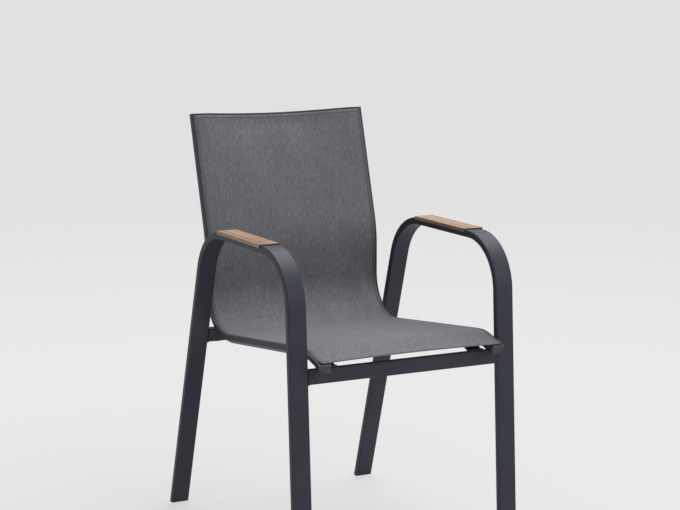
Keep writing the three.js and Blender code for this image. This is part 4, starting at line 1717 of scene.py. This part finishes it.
@dataclass
class Fasteners:
    """The screws under the arm pads and the rails."""

    pad_screw: Screw = Screw(shank=1.75, length=12.5, head=4, head_height=2.4)
    bracket_screw: Screw = Screw(shank=2.1, length=11, head=4.5, head_height=2.8)
    saddle_bolt: Screw = Screw(shank=2.5, length=48, head=5, head_height=2.4)
    tip_room: float = 0.05  # how far below a node's highest point its tip's face reaches

    def build(self, finishes: Finishes) -> None:
        """Makes every screw at the place of its node.

        Args:
            finishes: The chair's finishes.
        """
        kinds = (
            (self.pad_screw, ("front_arm_pad_screw", "rear_arm_pad_screw")),
            (self.bracket_screw, ("front_bracket_screw",)),
            (self.saddle_bolt, ("rear_saddle_bolt",)),
        )
        for screw, names in kinds:
            model = screw.model("screw_model")
            for name in names:
                for side in ("left", "right"):
                    self._place(model, screw, f"{side}_{name}", finishes)
            bpy.data.objects.remove(model)

    def _place(self, model: Piece, screw: Screw, node: str, finishes: Finishes) -> None:
        """Puts a copy of a screw where its node is, turned as the node is.

        Args:
            model: The upright screw.
            screw: Its sizes.
            node: The CAD node.
            finishes: The chair's finishes.
        """
        points = [vertex.co for vertex in frame["nodes"][node].data.vertices]
        low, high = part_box(node)
        top = max(point.z for point in points)
        face = [point for point in points if point.z > top - self.tip_room * MM]
        tip = sum(face, Vector()) / len(face)
        way = tip - sum(points, Vector()) / len(points)
        way = Vector((0, way.y, way.z)).normalized()
        seat = Vector(((low.x + high.x) / 2, tip.y, tip.z)) - way * screw.length * MM
        turn = Vector((0, 0, 1)).rotation_difference(way).to_matrix().to_4x4()
        copy = duplicate(model, f"{node}_fine", Matrix.Translation(seat) @ turn)
        settle(copy, finishes.steel, "screws", node)


# Stage


@dataclass(frozen=True)
class Lamp:
    """A soft square lamp: its place and size in metres, and its power."""

    name: str
    place: tuple[float, float, float]
    size: float
    power: float


@dataclass(frozen=True)
class Studio:
    """A pale sweep, soft lamps and the camera at the photograph's angle. Sizes are in metres."""

    eye: tuple[float, float, float] = (-1.7463, -3.41, 1.2227)
    azimuth: float = 27.2115
    pitch: float = 9.3117
    lens: float = 97.13
    sensor: float = 36.0
    backdrop: str = "#e1e1e2"
    # painted light: the floor's shown colour beside the chair, lighter than the backdrop, for the pool of the
    # lamps' light there
    near: str = "#ebebeb"
    floor: str = "#dedede"
    floor_width: float = 40
    plain: float = 0.7  # how much of the floor's own shading is left out beside the chair
    shading: Pair = (0.3, 1.6)  # from the chair, where that begins to grow and where none is left
    sweep: Pair = (0.5, 6.0)  # from the chair, where the painted pool of light begins to fade into the backdrop's colour and where it is gone
    room: float = 0.23  # strength of the light that comes from all round
    aim: tuple[float, float, float] = (0, 0, 0.45)  # the middle of the chair
    lamps: tuple[Lamp, ...] = (
        Lamp("key", (1.5, -3.0, 2.0), 2.4, 32),
        Lamp("fill", (-2.6, -1.8, 2.4), 2.2, 9),
        Lamp("top", (1.0, 0.5, 3.3), 2.6, 96),
    )

    def build(self) -> None:
        """Sets the camera, the floor, the lamps and the world."""
        self._camera()
        self._floor()
        for lamp in self.lamps:
            self._light(lamp)
        self._world()
        bpy.context.scene.view_settings.view_transform = "Standard"

    def _camera(self) -> None:
        """Places the camera."""
        data = bpy.data.cameras.new("camera")
        data.lens, data.sensor_width = self.lens, self.sensor
        camera = bpy.data.objects.new("camera", data)
        bpy.context.scene.collection.objects.link(camera)
        camera.location = self.eye
        camera.rotation_euler = (math.radians(90 - self.pitch), 0, math.radians(-self.azimuth))
        bpy.context.scene.camera = camera

    def _light(self, lamp: Lamp) -> None:
        """Adds a lamp that faces the chair.

        Args:
            lamp: The lamp.
        """
        data = bpy.data.lights.new(lamp.name, "AREA")
        data.size, data.energy = lamp.size, lamp.power
        light = bpy.data.objects.new(lamp.name, data)
        bpy.context.scene.collection.objects.link(light)
        light.location = lamp.place
        aim = Vector(self.aim) - Vector(lamp.place)
        light.rotation_euler = aim.to_track_quat("-Z", "Y").to_euler()

    def _floor(self) -> None:
        """Lays the floor, which keeps the chair's shadow, shows a painted pool of light beside the chair and
        fades into the backdrop.
        """
        bpy.ops.object.select_all(action="DESELECT")
        bpy.ops.mesh.primitive_grid_add(x_subdivisions=8, y_subdivisions=8, size=self.floor_width)
        floor = bpy.context.object
        floor.name = "studio_floor"
        graph = Shading("studio_floor")
        graph.feed(graph.shader, {"Base Color": linear(self.floor), "Roughness": 0.8})
        place = graph.add("ShaderNodeTexCoord").outputs["Object"]
        away = graph.add("ShaderNodeVectorMath", {0: place}, operation="LENGTH").outputs["Value"]
        fade, pool_fade = (
            graph.add(
                "ShaderNodeMapRange",
                {"Value": away, "From Min": begin, "From Max": end, "To Min": least},
                interpolation_type="SMOOTHSTEP",
            )
            for (begin, end), least in ((self.shading, self.plain), (self.sweep, 0.0))
        )
        stops = ((0.0, self.near), (1.0, self.backdrop))
        # painted light: the shown colour goes from the lighter pool beside the chair to the backdrop's colour
        colour = graph.add("ShaderNodeValToRGB", {"Fac": pool_fade}, stops)
        shown = graph.add("ShaderNodeEmission", {"Color": colour, "Strength": 1.0})
        share = graph.add("ShaderNodeMath", {0: seen_ray(graph), 1: fade}, operation="MULTIPLY")
        mix = graph.add("ShaderNodeMixShader", {0: share, 1: graph.shader, 2: shown})
        graph.feed(graph.output, {"Surface": mix})
        floor.data.materials.append(graph.material)

    def _world(self) -> None:
        """Lights the room evenly, and shows a pale backdrop to the camera, to gloss and through glass."""
        world = bpy.data.worlds.new("studio")
        bpy.context.scene.world = world
        graph = Graph(world)
        room = graph.add("ShaderNodeBackground", {"Color": linear("#ffffff"), "Strength": self.room})
        shown = graph.add("ShaderNodeBackground", {"Color": linear(self.backdrop), "Strength": 1.0})
        mix = graph.add("ShaderNodeMixShader", {0: seen_ray(graph), 1: room, 2: shown})
        graph.add("ShaderNodeOutputWorld", {"Surface": mix})


def seen_ray(graph: Graph) -> Socket:
    """Gives 1 for the rays by which the camera, gloss or glass shows what they meet, or else 0.

    Args:
        graph: The tree that asks.

    Returns:
        The output that holds it.
    """
    path = graph.add("ShaderNodeLightPath").outputs
    seen = path["Is Camera Ray"]
    for name in ("Is Glossy Ray", "Is Transmission Ray"):
        seen = graph.add("ShaderNodeMath", {0: seen, 1: path[name]}, operation="MAXIMUM").outputs[0]
    return seen


def dress_nodes(finish: Finish, *names: str) -> None:
    """Gives CAD nodes that stay as they are a finish.

    Args:
        finish: What their surface is made of.
        names: The nodes.
    """
    for name in names:
        node = frame["nodes"][name]
        node.data.materials.clear()
        node.data.materials.append(finish.material())
        log.info("%s: stays as it is, with a finish", name)


def main() -> None:
    """Builds the chair and its stage, in order."""
    logging.basicConfig(level=logging.INFO, format="%(message)s")
    finishes = Finishes()
    frames, beams, rails, bar = SideFrames(), Crossbeams(), SlingRails(), TopBar()
    Studio().build()
    frames.build(finishes)
    beams.build(frames, finishes)
    rails.build(finishes)
    bar.build(rails, finishes)
    Sling().build(rails, bar, finishes)
    ArmPads().build(frames, finishes)
    Fasteners().build(finishes)
    for fitting in ("front_rail_bracket", "rear_rail_saddle"):
        dress_nodes(finishes.frame, f"left_{fitting}", f"right_{fitting}")
    dress_nodes(finishes.black, "left_side_spline", "right_side_spline", "top_spline")


if __name__ == "__main__":
    main()
